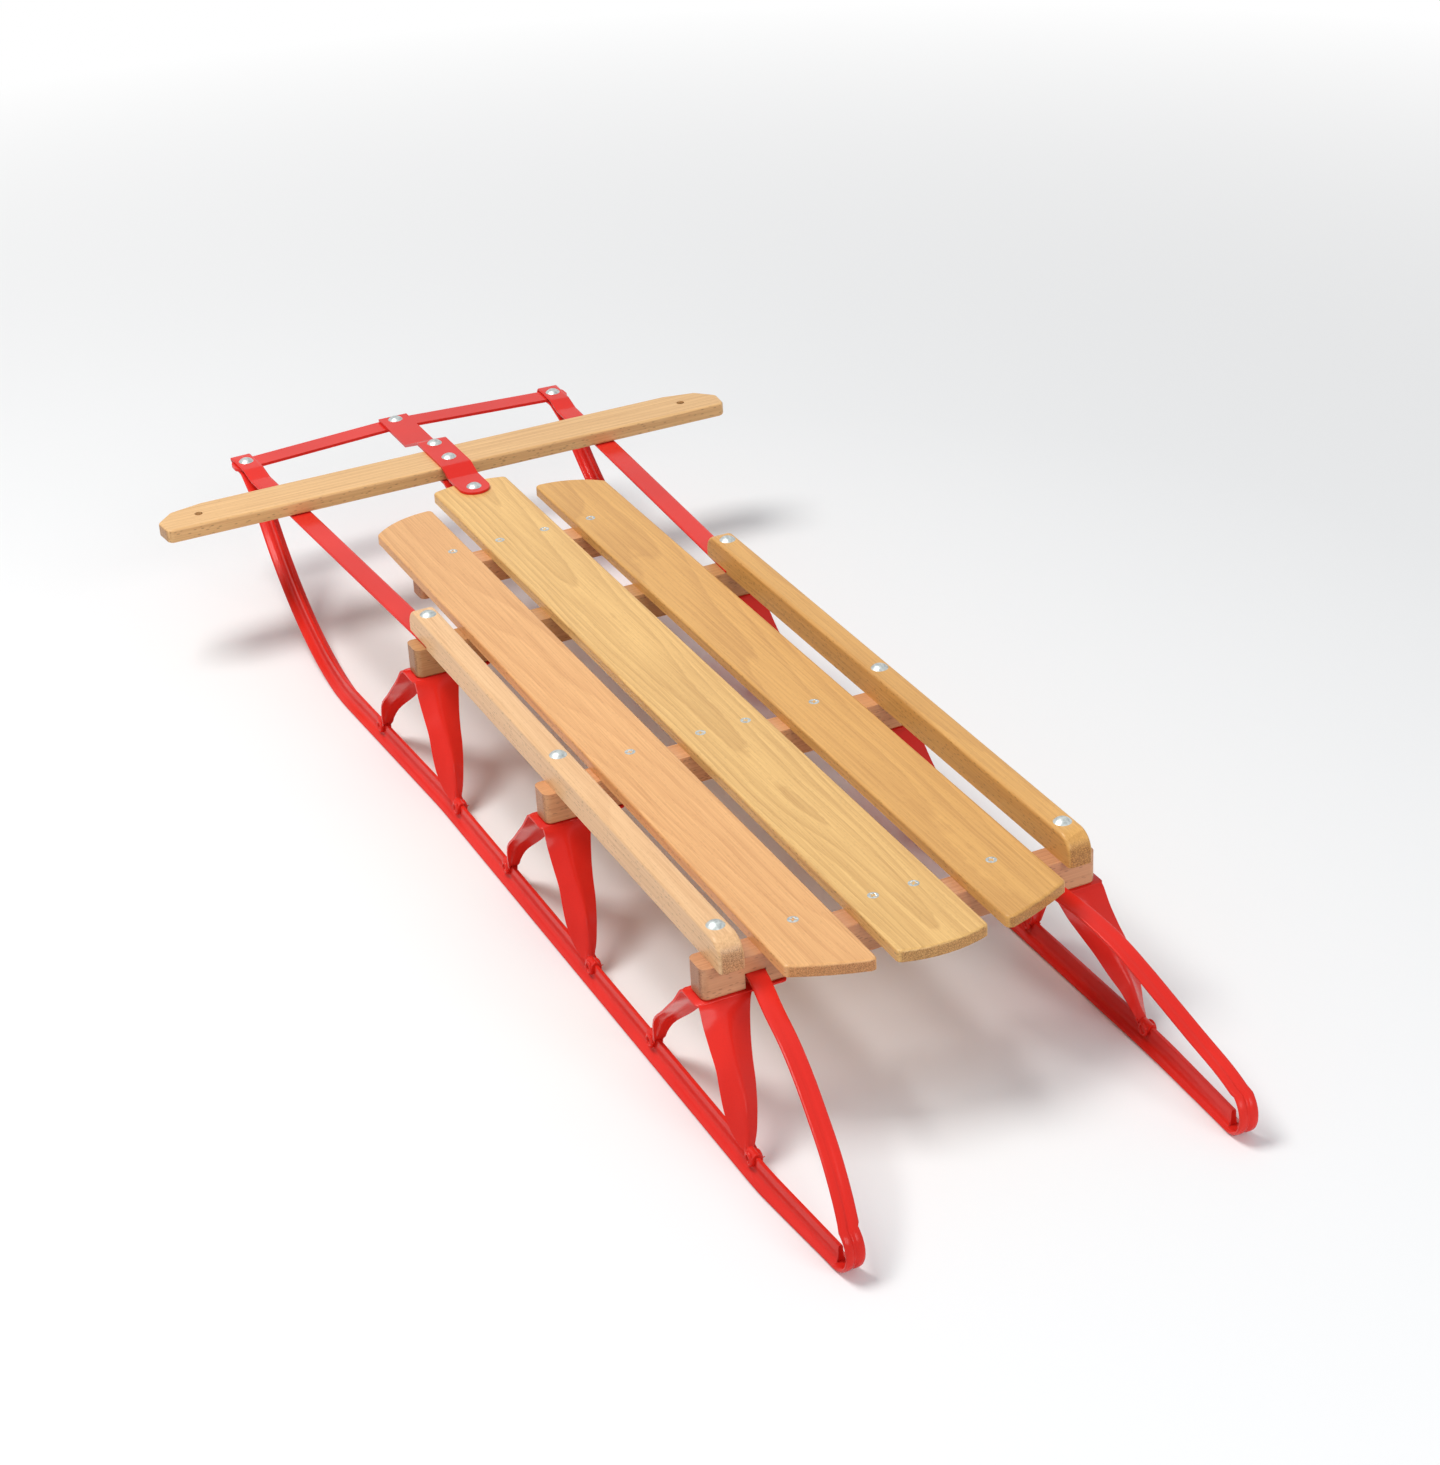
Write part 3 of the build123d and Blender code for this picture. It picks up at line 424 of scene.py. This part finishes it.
def runner_x(y):
    """How far out the runner's middle lies."""
    if y < TURN_Y:
        return RUNNER_X + TOE_OUT * (y - CORNER_Y) / (TURN_Y - CORNER_Y)
    if y < SPLAY_Y:
        return RUNNER_X + TOE_OUT * (SPLAY_Y - y) / (SPLAY_Y - TURN_Y)
    return RUNNER_X - HEEL_IN * max(0.0, y - HEEL_START)


def runner_line(y, reach=18.0):
    """The same line with its corners eased, and its slope."""
    places = [y + reach * k / 3 for k in range(-3, 4)]
    x = sum(runner_x(p) for p in places) / len(places)
    slope = (runner_x(y + reach) - runner_x(y - reach)) / (2 * reach)
    return x, slope


# Runners: one continuous steel on each side
# The route runs from the front beam round the curl, the toe and the heel
ROUTE = [
    # y, z and the radius of the bend there
    (-154.5, STRIP_TOP, 0.0),
    (-545.5, STRIP_TOP, DIP_R),
    (-569.5, DIP_LOW, DIP_R),
    (-605.5, DIP_LOW, DIP_R),
    (-624.5, STRIP_TOP, DIP_R),
    (CORNER_Y - CURL_AHEAD, STRIP_TOP, 4.3),
    (CORNER_Y - CURL_AHEAD, CURL_LOW, 4.25),
    (CORNER_Y + NECK_BEHIND, CURL_LOW, NECK_R),
    (BEND_Y, BEND_Z, BEND_R),
    (-491.2, 0.0, TOE_R),
    (715.0, 0.0, HEEL_R),
    (662.6, 39.3, 0.0),
]
RETURN = [
    # y, centre x, top z, how much of the shoe's shape is left
    (665.0, 163.4, 37.2, 1.0),
    (645.0, 158.5, 52.2, 0.8),
    (615.0, 151.9, 68.0, 0.5),
    (585.0, 146.7, 82.2, 0.42),
    (555.0, 142.0, 95.5, 0.36),
    (525.0, 137.9, 105.9, 0.25),
    (490.0, 133.2, 112.4, 0.08),
    (447.0, 125.75, 117.8, 0.0),
    (420.5, 125.75, 118.3, 0.0),
]
# Half sections, out from the middle and up: shoe with rib, flat strip, and shoe alone at the heel
ROLLED = [
    (0.0, 1.4), (0.8, 1.3), (1.5, 0.7), (2.3, 0.1), (4.0, 0.0), (7.0, 0.0), (9.2, 0.3), (10.0, 1.2),
    (9.7, 2.2), (8.2, 2.9), (5.5, 3.5), (3.2, 4.2), (2.2, 5.8), (2.0, 9.0), (2.0, 15.0), (1.4, 16.7),
    (0.0, 17.0),
]
FLAT = [
    (0.0, 0.0), (1.5, 0.0), (3.0, 0.0), (4.5, 0.0), (6.0, 0.0), (8.0, 0.0), (9.8, 0.05), (10.4, 0.5),
    (10.5, 1.25), (10.4, 2.0), (9.8, 2.45), (8.0, 2.5), (6.0, 2.5), (4.5, 2.5), (3.0, 2.5), (1.5, 2.5),
    (0.0, 2.5),
]
SHOE = [
    (0.0, 1.3), (0.7, 1.2), (1.4, 0.6), (2.1, 0.1), (3.5, 0.0), (5.5, 0.05), (7.0, 0.35), (7.8, 1.0),
    (8.0, 1.8), (7.6, 2.7), (6.5, 3.3), (5.0, 3.5), (4.0, 3.5), (3.0, 3.5), (2.0, 3.5), (1.0, 3.5),
    (0.0, 3.5),
]
# The part of a section nearer the middle than this keeps its width where the shoe narrows
GROOVE_EDGE = 2.3
# The flat strip rolls into the shoe over this length behind the bend, and only under this height
ROLL_LENGTH = 32.0
ROLL_UNDER = 118.0
# The rib ends squarely, over a short step
RIB_END = 649.6
RIB_STEP = 0.4
# Behind this place the strap lies above this height and the runner below it; ahead of it the steel curls
CURL_END = -600.0
STRIP_OVER = 120.0
# The return's rows are used only ahead of this place, where the route has ended
RETURN_END = 660.0
RETURN_STEPS = 5
# How thick the return is where it is flat
RETURN_FLAT = 2.8


def rounded_route(route, step=2.0):
    """Samples a route with rounded corners as (y, z, tangent angle)."""
    samples = []
    here = Vector(route[0][:2])
    last = len(route) - 1
    for index in range(1, len(route)):
        corner = Vector(route[index][:2])
        incoming = (corner - here).normalized()
        if index < last:
            outgoing = (Vector(route[index + 1][:2]) - corner).normalized()
            turn = math.atan2(incoming.x * outgoing.y - incoming.y * outgoing.x, incoming.dot(outgoing))
            radius = route[index][2]
            cut = radius * math.tan(abs(turn) / 2)
            end = corner - incoming * cut
        else:
            turn, end = 0.0, corner
        heading = math.atan2(incoming.y, incoming.x)
        pieces = max(1, int((end - here).length / (step * 4)))
        for k in range(pieces + (index == last)):
            place = here + (end - here) * (k / pieces)
            samples.append((place.x, place.y, heading))
        if turn:
            centre = end + Vector((-incoming.y, incoming.x)) * math.copysign(radius, turn)
            arc_pieces = max(4, int(abs(turn) * max(radius, 8.0) / step))
            for k in range(arc_pieces):
                angle = heading + turn * k / arc_pieces
                normal = Vector((math.sin(angle), -math.cos(angle))) * math.copysign(radius, turn)
                place = centre + normal
                samples.append((place.x, place.y, angle))
            here = corner + outgoing * cut
    return samples


def section(m, width, thick, half, with_rib):
    """Half section between the flat strip (m = 0) and the rolled shoe (m = 1), then mirrored."""
    shape, widest = (ROLLED, SHOE_HALF) if with_rib else (SHOE, HEEL_HALF)
    row = []
    for (fa, fb), (ra, rb) in zip(FLAT, shape):
        if ra > GROOVE_EDGE:
            ra = GROOVE_EDGE + (ra - GROOVE_EDGE) * (half - GROOVE_EDGE) / (widest - GROOVE_EDGE)
        a = fa * width / STRIP_W * (1 - m) + ra * m
        b = fb * thick / STRIP_T * (1 - m) + rb * m
        row.append((a, b))
    return row + [(-a, b) for a, b in reversed(row[1:-1])]


def route_ring(y, z, heading):
    """The section at a place of the route: flat along the strip, rolled along the runner."""
    inward = Vector((0.0, -math.sin(heading), math.cos(heading)))
    if y < CURL_END:
        low = smoothstep((1 - math.cos(heading - math.pi)) / 2)
    else:
        low = float(z < STRIP_OVER)
    strip_at = RUNNER_X + (y - CORNER_Y) * STRIP_SLOPE
    runner_at, runner_slope = runner_line(y)
    x = strip_at * (1 - low) + runner_at * low
    slope = STRIP_SLOPE * (1 - low) + runner_slope * low
    m = smoothstep((y - BEND_Y) / ROLL_LENGTH) if low and z < ROLL_UNDER else 0.0
    half = SHOE_HALF + (HEEL_HALF - SHOE_HALF) * min(1.0, max(0.0, (y - HEEL_START) / HEEL_NARROW))
    side = Vector((1.0, -slope, 0.0)).normalized()
    shape = section(m, STRIP_W, STRIP_T, half, y <= RIB_END)
    return [Vector((x, y, z)) + side * a + inward * b for a, b in shape]


def return_ring(row, before, after):
    """The section of the strap that comes back from the heel to the rear beam."""
    y, x, top, m = row
    tangent = Vector((after[1] - before[1], after[0] - before[0], after[2] - before[2])).normalized()
    side = Vector((1.0, 0.0, 0.0))
    side = (side - tangent * side.dot(tangent)).normalized()
    inward = tangent.cross(side).normalized()
    if inward.z > 0:
        inward = -inward
    shape = section(m, RETURN_W, RETURN_FLAT, HEEL_HALF, False)
    return [Vector((x, y, top)) + side * a + inward * b for a, b in shape]


def runner_rings():
    """All sections of the left steel, with the rib ending squarely ahead of the heel."""
    samples = rounded_route(ROUTE)
    at = next(k for k, (y, z, heading) in enumerate(samples) if y > RIB_END and z < 1.0)
    samples[at:at] = [(RIB_END, 0.0, 0.0), (RIB_END + RIB_STEP, 0.0, 0.0)]
    rings = [route_ring(*sample) for sample in samples]
    rows = [row for row in eased(RETURN, RETURN_STEPS) if row[0] < RETURN_END]
    for k, row in enumerate(rows):
        rings.append(return_ring(row, rows[max(0, k - 1)], rows[min(len(rows) - 1, k + 1)]))
    return rings


def build_runners():
    """Both steels, curled at their front ends, put on no body."""
    for side, sign in SIDES.items():
        verts, faces = rings_to_solid(runner_rings())
        steel = make_mesh(
            f"runner_steel_{side}", verts, faces, MATS["red"], None,
            angle=50.0, mirror=side == "right",
        )
        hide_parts(f"nose_{side}", f"strap_{side}", f"runner_{side}")
        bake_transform(steel)


# Knees: one pressed sheet at each end of each crossbeam
# Each row: place from the beam's middle towards the foot as a share of the foot's, then the outer edge, the
# fold and the inner edge on the sheet's upper face, across and up
LEG = [
    (0.120, (174.5, 103.9), (157.0, 103.9), (126.0, 103.9)),
    (0.155, (174.2, 103.6), (157.0, 103.7), (129.5, 103.6)),
    (0.190, (174.4, 101.0), (157.2, 101.6), (132.5, 101.0)),
    (0.230, (174.9, 95.0), (157.8, 98.4), (135.2, 94.4)),
    (0.284, (175.5, 87.6), (158.5, 93.6), (138.0, 86.4)),
    (0.400, (176.4, 76.6), (160.2, 83.6), (142.8, 75.2)),
    (0.523, (177.5, 66.4), (162.0, 73.9), (147.0, 65.0)),
    (0.620, (179.2, 52.4), (163.3, 65.6), (149.8, 56.7)),
    (0.693, (179.8, 40.0), (164.5, 58.6), (152.4, 49.6)),
    (0.750, (178.9, 30.4), (165.5, 53.0), (154.6, 44.4)),
    (0.807, (177.4, 22.6), (166.6, 46.2), (157.2, 38.4)),
    (0.880, (175.3, 17.2), (168.4, 31.5), (161.4, 26.5)),
]
ARM = [
    (0.120, (175.6, 103.9), (160.0, 103.9), (134.0, 103.9)),
    (0.155, (175.6, 103.5), (160.0, 103.5), (137.5, 103.4)),
    (0.195, (176.0, 100.6), (160.2, 100.0), (140.5, 98.4)),
    (0.240, (176.6, 95.0), (160.5, 94.0), (143.2, 90.0)),
    (0.307, (177.5, 86.8), (161.0, 85.8), (146.0, 79.8)),
    (0.430, (177.6, 76.0), (162.2, 75.0), (149.4, 68.6)),
    (0.568, (177.5, 63.8), (164.0, 62.8), (153.0, 55.8)),
    (0.807, (177.0, 42.8), (167.0, 41.8), (160.0, 35.8)),
]
# The saddle over the rib: places from the foot, and how far down its outer tab reaches
SADDLE = [
    (-6.6, 13.5), (-5.6, 10.0), (-4.2, 8.0), (-2.2, 6.5), (0.0, 6.0), (2.2, 6.5), (4.2, 8.0), (5.6, 10.0),
    (6.6, 13.5),
]
SADDLE_HALF = 4.1
SADDLE_TOP = 19.1
SADDLE_SIDE = 3
LIP_SHORTER = 2.5
# How far the leg's and the arm's feet stand from the beam's middle
KNEES = {"front": (93.0, 88.0), "middle": (92.0, 89.0), "rear": (89.0, 88.0)}
ACROSS = 12
ROW_STEPS = 4
SHEET = 2.0
FOLD_SHARP = 0.45
FLANGE_X = (100.0, 176.0)
FLANGE_HALF = 14.5
FLANGE_R = 4.0
CORNER_STEPS = 6
# The flange's edge: how far in from the outline, and how far below the top
FLANGE_EDGE = [(0.5, 2.0), (0.0, 1.6), (0.0, 0.5), (0.4, 0.05)]


def bowed_row(outer, fold, inner):
    """Points across a folded sheet, with the fold rounded."""
    row = []
    for k in range(ACROSS + 1):
        t = 2 * k / ACROSS
        a, b, u = (outer, fold, t) if t <= 1 else (fold, inner, t - 1)
        row.append((a[0] + (b[0] - a[0]) * u, a[1] + (b[1] - a[1]) * u))
    middle = ACROSS // 2
    x, z = row[middle]
    ease = (row[middle - 1][1] + row[middle + 1][1]) / 2
    row[middle] = (x, z * FOLD_SHARP + ease * (1 - FOLD_SHARP))
    return row


def saddle_row(tab):
    """Points across the saddle, from the tip of its outer tab over the rib to its inner lip."""
    lift = SADDLE_TOP - SADDLE_HALF
    row = []
    for k in range(ACROSS + 1):
        if k < SADDLE_SIDE:
            row.append((SADDLE_HALF, tab + (lift - tab) * k / SADDLE_SIDE))
        elif k <= ACROSS - SADDLE_SIDE:
            angle = math.pi * (k - SADDLE_SIDE) / (ACROSS - 2 * SADDLE_SIDE)
            row.append((SADDLE_HALF * math.cos(angle), lift + SADDLE_HALF * math.sin(angle)))
        else:
            down = (k - ACROSS + SADDLE_SIDE) / SADDLE_SIDE
            row.append((-SADDLE_HALF, lift + (tab + LIP_SHORTER - lift) * down))
    return row


def sheet_solid(grid, thickness):
    """Gives a grid of points a thickness on the side away from its normals."""
    high, wide = len(grid), len(grid[0])
    lower = []
    for i in range(high):
        row = []
        for j in range(wide):
            along = grid[min(high - 1, i + 1)][j] - grid[max(0, i - 1)][j]
            across = grid[i][min(wide - 1, j + 1)] - grid[i][max(0, j - 1)]
            row.append(grid[i][j] - along.cross(across).normalized() * thickness)
        lower.append(row)
    verts = [tuple(p) for row in grid for p in row] + [tuple(p) for row in lower for p in row]
    base = high * wide
    faces = []
    for i in range(high - 1):
        for j in range(wide - 1):
            a, b, c, d = i * wide + j, (i + 1) * wide + j, (i + 1) * wide + j + 1, i * wide + j + 1
            faces.append((a, b, c, d))
            faces.append((base + d, base + c, base + b, base + a))
    rim = [(0, j) for j in range(wide)] + [(i, wide - 1) for i in range(1, high)]
    rim += [(high - 1, j) for j in range(wide - 2, -1, -1)] + [(i, 0) for i in range(high - 2, 0, -1)]
    for (i, j), (m, n) in zip(rim, rim[1:] + rim[:1]):
        faces.append((i * wide + j, m * wide + n, base + m * wide + n, base + i * wide + j))
    return verts, faces


def knee_sheet(stations, beam_y, way, foot):
    """The leg (way 1) or arm (way -1) of a knee with its saddle, on the left side."""
    foot_x, slope = runner_line(beam_y + way * foot)
    drift = foot_x - RUNNER_X
    rows = []
    for share, outer, fold, inner in stations:
        row = bowed_row(outer, fold, inner)
        rows.append([Vector((x + drift * share, beam_y + way * foot * share, z)) for x, z in row])
    for near, tab in SADDLE:
        y = beam_y + way * (foot + near)
        middle = foot_x + slope * way * near
        rows.append([Vector((middle + a, y, z)) for a, z in saddle_row(tab)])
    return sheet_solid(eased(rows, ROW_STEPS), SHEET * way)


def flange(beam_y):
    """The flat top of a knee, with rounded corners."""
    low, high = FLANGE_X
    middle = (low + high) / 2
    inner_half = FLANGE_HALF - FLANGE_R
    corners = [
        (high - FLANGE_R, inner_half, 0), (low + FLANGE_R, inner_half, 90),
        (low + FLANGE_R, -inner_half, 180), (high - FLANGE_R, -inner_half, 270),
    ]
    outline = []
    for x, y, start in corners:
        for k in range(CORNER_STEPS + 1):
            angle = math.radians(start + 90 * k / CORNER_STEPS)
            outline.append((x + FLANGE_R * math.cos(angle), beam_y + y + FLANGE_R * math.sin(angle)))
    rings = []
    for inset, down in FLANGE_EDGE:
        ring = []
        for x, y in outline:
            in_x = math.copysign(inset, x - middle)
            in_y = math.copysign(inset, y - beam_y)
            ring.append(Vector((x - in_x, y - in_y, FLANGE_TOP - down)))
        rings.append(ring)
    return rings_to_solid(rings)


def build_knees():
    """Six knees, each a flange, a leg and an arm."""
    for name, beam_y in BEAMS.items():
        leg, arm = KNEES[name]
        parts = [flange(beam_y), knee_sheet(LEG, beam_y, 1, leg), knee_sheet(ARM, beam_y, -1, arm)]
        for side in SIDES:
            verts, faces = joined(parts)
            knee = make_mesh(
                f"knee_steel_{name}_{side}", verts, faces, MATS["red"], "sled",
                angle=42.0, mirror=side == "right",
            )
            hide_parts(f"knee_{name}_{side}")


# Tubular rivets through the feet: their rolled rims, and near-black discs of painted shade inside their
# hollows
RIVET_Z = 12.5
RIM = [
    (2.9, -1.9), (2.9, -0.3), (3.1, 0.7), (3.7, 1.4), (4.5, 1.5), (5.4, 1.0), (6.0, 0.2), (6.0, -0.3),
    (2.9, -1.9),
]
# A thin disc just inside each rim, which carries the painted shade of the hollow
HOLLOW_SHADE_DISC = [(0.0, -1.3), (2.95, -1.3), (2.95, -1.4), (0.0, -1.4)]


def build_rivets():
    """A rim on both faces of every foot, with a near-black disc of painted shade in its hollow."""
    for side in SIDES:
        rims = []
        shade_discs = []
        for beam_y, (leg, arm) in zip(BEAMS.values(), KNEES.values()):
            for y in (beam_y + leg, beam_y - arm):
                foot_x, slope = runner_line(y)
                out = Vector((1.0, -slope, 0.0)).normalized()
                for way in (out, -out):
                    centre = Vector((foot_x, y, RIVET_Z)) + way * SADDLE_HALF
                    rims.append(lathe(RIM, centre, way))
                    shade_discs.append(lathe(HOLLOW_SHADE_DISC, centre, way))
        verts, faces = joined(rims)
        rivets = make_mesh(
            f"eyelets_{side}", verts, faces, MATS["red"], "sled",
            angle=60.0, mirror=side == "right",
        )
        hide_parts(f"rivets_{side}")
        # The discs of painted shade inside the rims
        verts, faces = joined(shade_discs)
        make_mesh(
            f"eyelet_painted_shade_{side}", verts, faces, MATS["shade"], "sled",
            angle=60.0, mirror=side == "right",
        )


# Cross-head screws in the slats: each row's place, and how far out its screws sit on both sides
SCREWS = [
    (-314.5, (23.0, 71.0)),
    (129.5, (21.0, 85.5)),
    (429.5, (17.5, 85.5)),
]
SCREW_R = 4.5
SCREW_ROOT = -1.4
SCREW_SKIRT = -0.8
DOME_TOP = 0.45
DOME_FALL = 0.35
CROSS_HALF = 0.95
CROSS_REACH = 2.9
CROSS_DEPTH = 1.5
CROSS_EASE = 0.4
TIP_EASE = 0.6
TIP_RISE = 0.25
SCREW_RINGS = 15
SCREW_AROUND = 64


def screw_height(a, b):
    """Height over the deck of a point of the screw's head."""
    arm = min(abs(a), abs(b))
    reach = max(abs(a), abs(b))
    recess = smoothstep((CROSS_HALF - arm) / CROSS_EASE) * smoothstep((CROSS_REACH - reach) / TIP_EASE)
    dome = DOME_TOP - DOME_FALL * (math.hypot(a, b) / SCREW_R) ** 2
    return dome - CROSS_DEPTH * recess * (1 - TIP_RISE * reach / CROSS_REACH)


def screw_head(x, y, turn):
    """A low head with a cross recess, on a grid of rings that ends in a skirt."""
    verts = [(x, y, DECK_TOP + SCREW_ROOT)]
    faces = []
    c, s = math.cos(turn), math.sin(turn)
    for i in range(1, SCREW_RINGS + 2):
        r = min(i, SCREW_RINGS) / SCREW_RINGS * SCREW_R
        for k in range(SCREW_AROUND):
            angle = 2 * math.pi * k / SCREW_AROUND
            a, b = r * math.cos(angle), r * math.sin(angle)
            z = SCREW_SKIRT if i > SCREW_RINGS else screw_height(a, b)
            verts.append((x + a * c - b * s, y + a * s + b * c, DECK_TOP + z))
    for k in range(SCREW_AROUND):
        faces.append((0, 1 + k, 1 + (k + 1) % SCREW_AROUND))
    for i in range(SCREW_RINGS):
        near = 1 + i * SCREW_AROUND
        far = near + SCREW_AROUND
        for k in range(SCREW_AROUND):
            n = (k + 1) % SCREW_AROUND
            faces.append((near + k, far + k, far + n, near + n))
    return verts, faces


def build_screws():
    """All screws as one piece, each one's cross turned its own way."""
    screws = []
    for row, (y, places) in enumerate(SCREWS):
        for column, x in enumerate(places):
            screws.append(screw_head(x, y, 0.3 + 0.9 * row + 0.5 * column))
            screws.append(screw_head(-x, y, 1.1 + 0.7 * row + 0.8 * column))
    verts, faces = joined(screws)
    make_mesh("deck_screws", verts, faces, MATS["zinc"], "sled", angle=50.0)


# Camera of the photograph: direction, distance in metres, and scale at the point that it looks at
CAM_AZ = math.radians(156.063)
CAM_EL = math.radians(28.622)
CAM_ROLL = math.radians(-3.312)
CAM_DISTANCE = 1.0 / 0.389
CAM_TARGET = (7.51, 139.341, 143.0)
PIXELS_PER_MM = 1.199
PHOTO_WIDTH = 1440.0
SENSOR = 36.0


def place_camera():
    """The photograph's camera, with its roll."""
    level = math.cos(CAM_EL)
    back = Vector((math.sin(CAM_AZ) * level, -math.cos(CAM_AZ) * level, math.sin(CAM_EL)))
    right =(-back).cross(Vector((0.0, 0.0, 1.0))).normalized()
    up = right.cross(-back)
    cam_right = right * math.cos(CAM_ROLL) + up * math.sin(CAM_ROLL)
    cam_up = -right * math.sin(CAM_ROLL) + up * math.cos(CAM_ROLL)
    data = bpy.data.cameras.new("camera")
    camera = bpy.data.objects.new("camera", data)
    bpy.context.scene.collection.objects.link(camera)
    data.sensor_fit = "HORIZONTAL"
    data.sensor_width = SENSOR
    data.lens = PIXELS_PER_MM * CAM_DISTANCE / MM / PHOTO_WIDTH * SENSOR
    data.clip_start = 0.05
    data.clip_end = 60.0
    turn = Matrix((cam_right, cam_up, back)).transposed().to_4x4()
    camera.matrix_world = Matrix.Translation(Vector(CAM_TARGET) * MM + back * CAM_DISTANCE) @ turn
    bpy.context.scene.camera = camera


# Floor that fades to white away from the sled, lamps and the world
FLOOR_REACH = 12.0
FLOOR_DOWN = 0.0005
FADE_FROM = 0.9
FADE_TO = 2.6


def seen(tree):
    """1 for the rays that show the background, straight, mirrored or through glass, and 0 for light."""
    rays = node(tree, "ShaderNodeLightPath").outputs
    some = maths(tree, "MAXIMUM", rays["Is Camera Ray"], rays["Is Glossy Ray"])
    return maths(tree, "MAXIMUM", some, rays["Is Transmission Ray"])


def pick_shader(tree, fac, first, second, output):
    """Links the mix of two shaders to an output."""
    pick = node(tree, "ShaderNodeMixShader", {"Fac": fac})
    tree.links.new(first.outputs[0], pick.inputs[1])
    tree.links.new(second.outputs[0], pick.inputs[2])
    tree.links.new(pick.outputs[0], output.inputs[0])


def lay_floor():
    """A pale floor just under the runners."""
    mat, tree, shader = new_material("floor_pale")
    shader.inputs["Base Color"].default_value = (0.86, 0.865, 0.87, 1.0)
    shader.inputs["Roughness"].default_value = 0.8
    coords = node(tree, "ShaderNodeTexCoord").outputs["Object"]
    away = node(tree, "ShaderNodeVectorMath", {0: coords}, operation="LENGTH").outputs["Value"]
    fade = maths(tree, "MULTIPLY", spread(tree, away, FADE_FROM, FADE_TO), seen(tree))
    glow = node(tree, "ShaderNodeEmission", {"Color": (*WHITE, 1.0), "Strength": 1.0})
    output = next(n for n in tree.nodes if n.type == "OUTPUT_MATERIAL")
    pick_shader(tree, fade, shader, glow, output)
    mesh = bpy.data.meshes.new("floor")
    signs = [(-1, -1), (1, -1), (1, 1), (-1, 1)]
    corners = [(x * FLOOR_REACH, y * FLOOR_REACH, -FLOOR_DOWN) for x, y in signs]
    mesh.from_pydata(corners, [], [(0, 1, 2, 3)])
    obj = bpy.data.objects.new("floor", mesh)
    bpy.context.scene.collection.objects.link(obj)
    mesh.materials.append(mat)


def area_light(name, place, size, power, color):
    """A soft lamp that looks at the sled."""
    data = bpy.data.lights.new(name, "AREA")
    data.shape = "RECTANGLE"
    data.size, data.size_y = size
    data.energy = power
    data.color = color
    obj = bpy.data.objects.new(name, data)
    bpy.context.scene.collection.objects.link(obj)
    obj.location = place
    aim = Vector((0.0, 0.0, 0.1))
    obj.rotation_euler = (aim - Vector(place)).to_track_quat("-Z", "Y").to_euler()


def light_world():
    """Soft light from all round, and white where the background shows."""
    world = bpy.data.worlds.new("studio")
    bpy.context.scene.world = world
    world.use_nodes = True
    tree = world.node_tree
    tree.nodes.clear()
    out = tree.nodes.new("ShaderNodeOutputWorld")
    soft = node(tree, "ShaderNodeBackground", {"Color": (0.93, 0.96, 1.0, 1.0), "Strength": 0.38})
    white = node(tree, "ShaderNodeBackground", {"Color": (*WHITE, 1.0), "Strength": 1.0})
    pick_shader(tree, seen(tree), soft, white, out)


dress_solids()
build_runners()
build_knees()
build_rivets()
build_screws()
place_camera()
lay_floor()
area_light("key", place=(1.1, -0.5, 2.9), size=(1.3, 1.3), power=72.0, color=(1.0, 0.985, 0.96))
area_light("fill", place=(-0.2, 2.9, 1.6), size=(1.8, 1.2), power=34.0, color=(0.98, 0.99, 1.0))
light_world()
bpy.context.scene.view_settings.view_transform = "Standard"
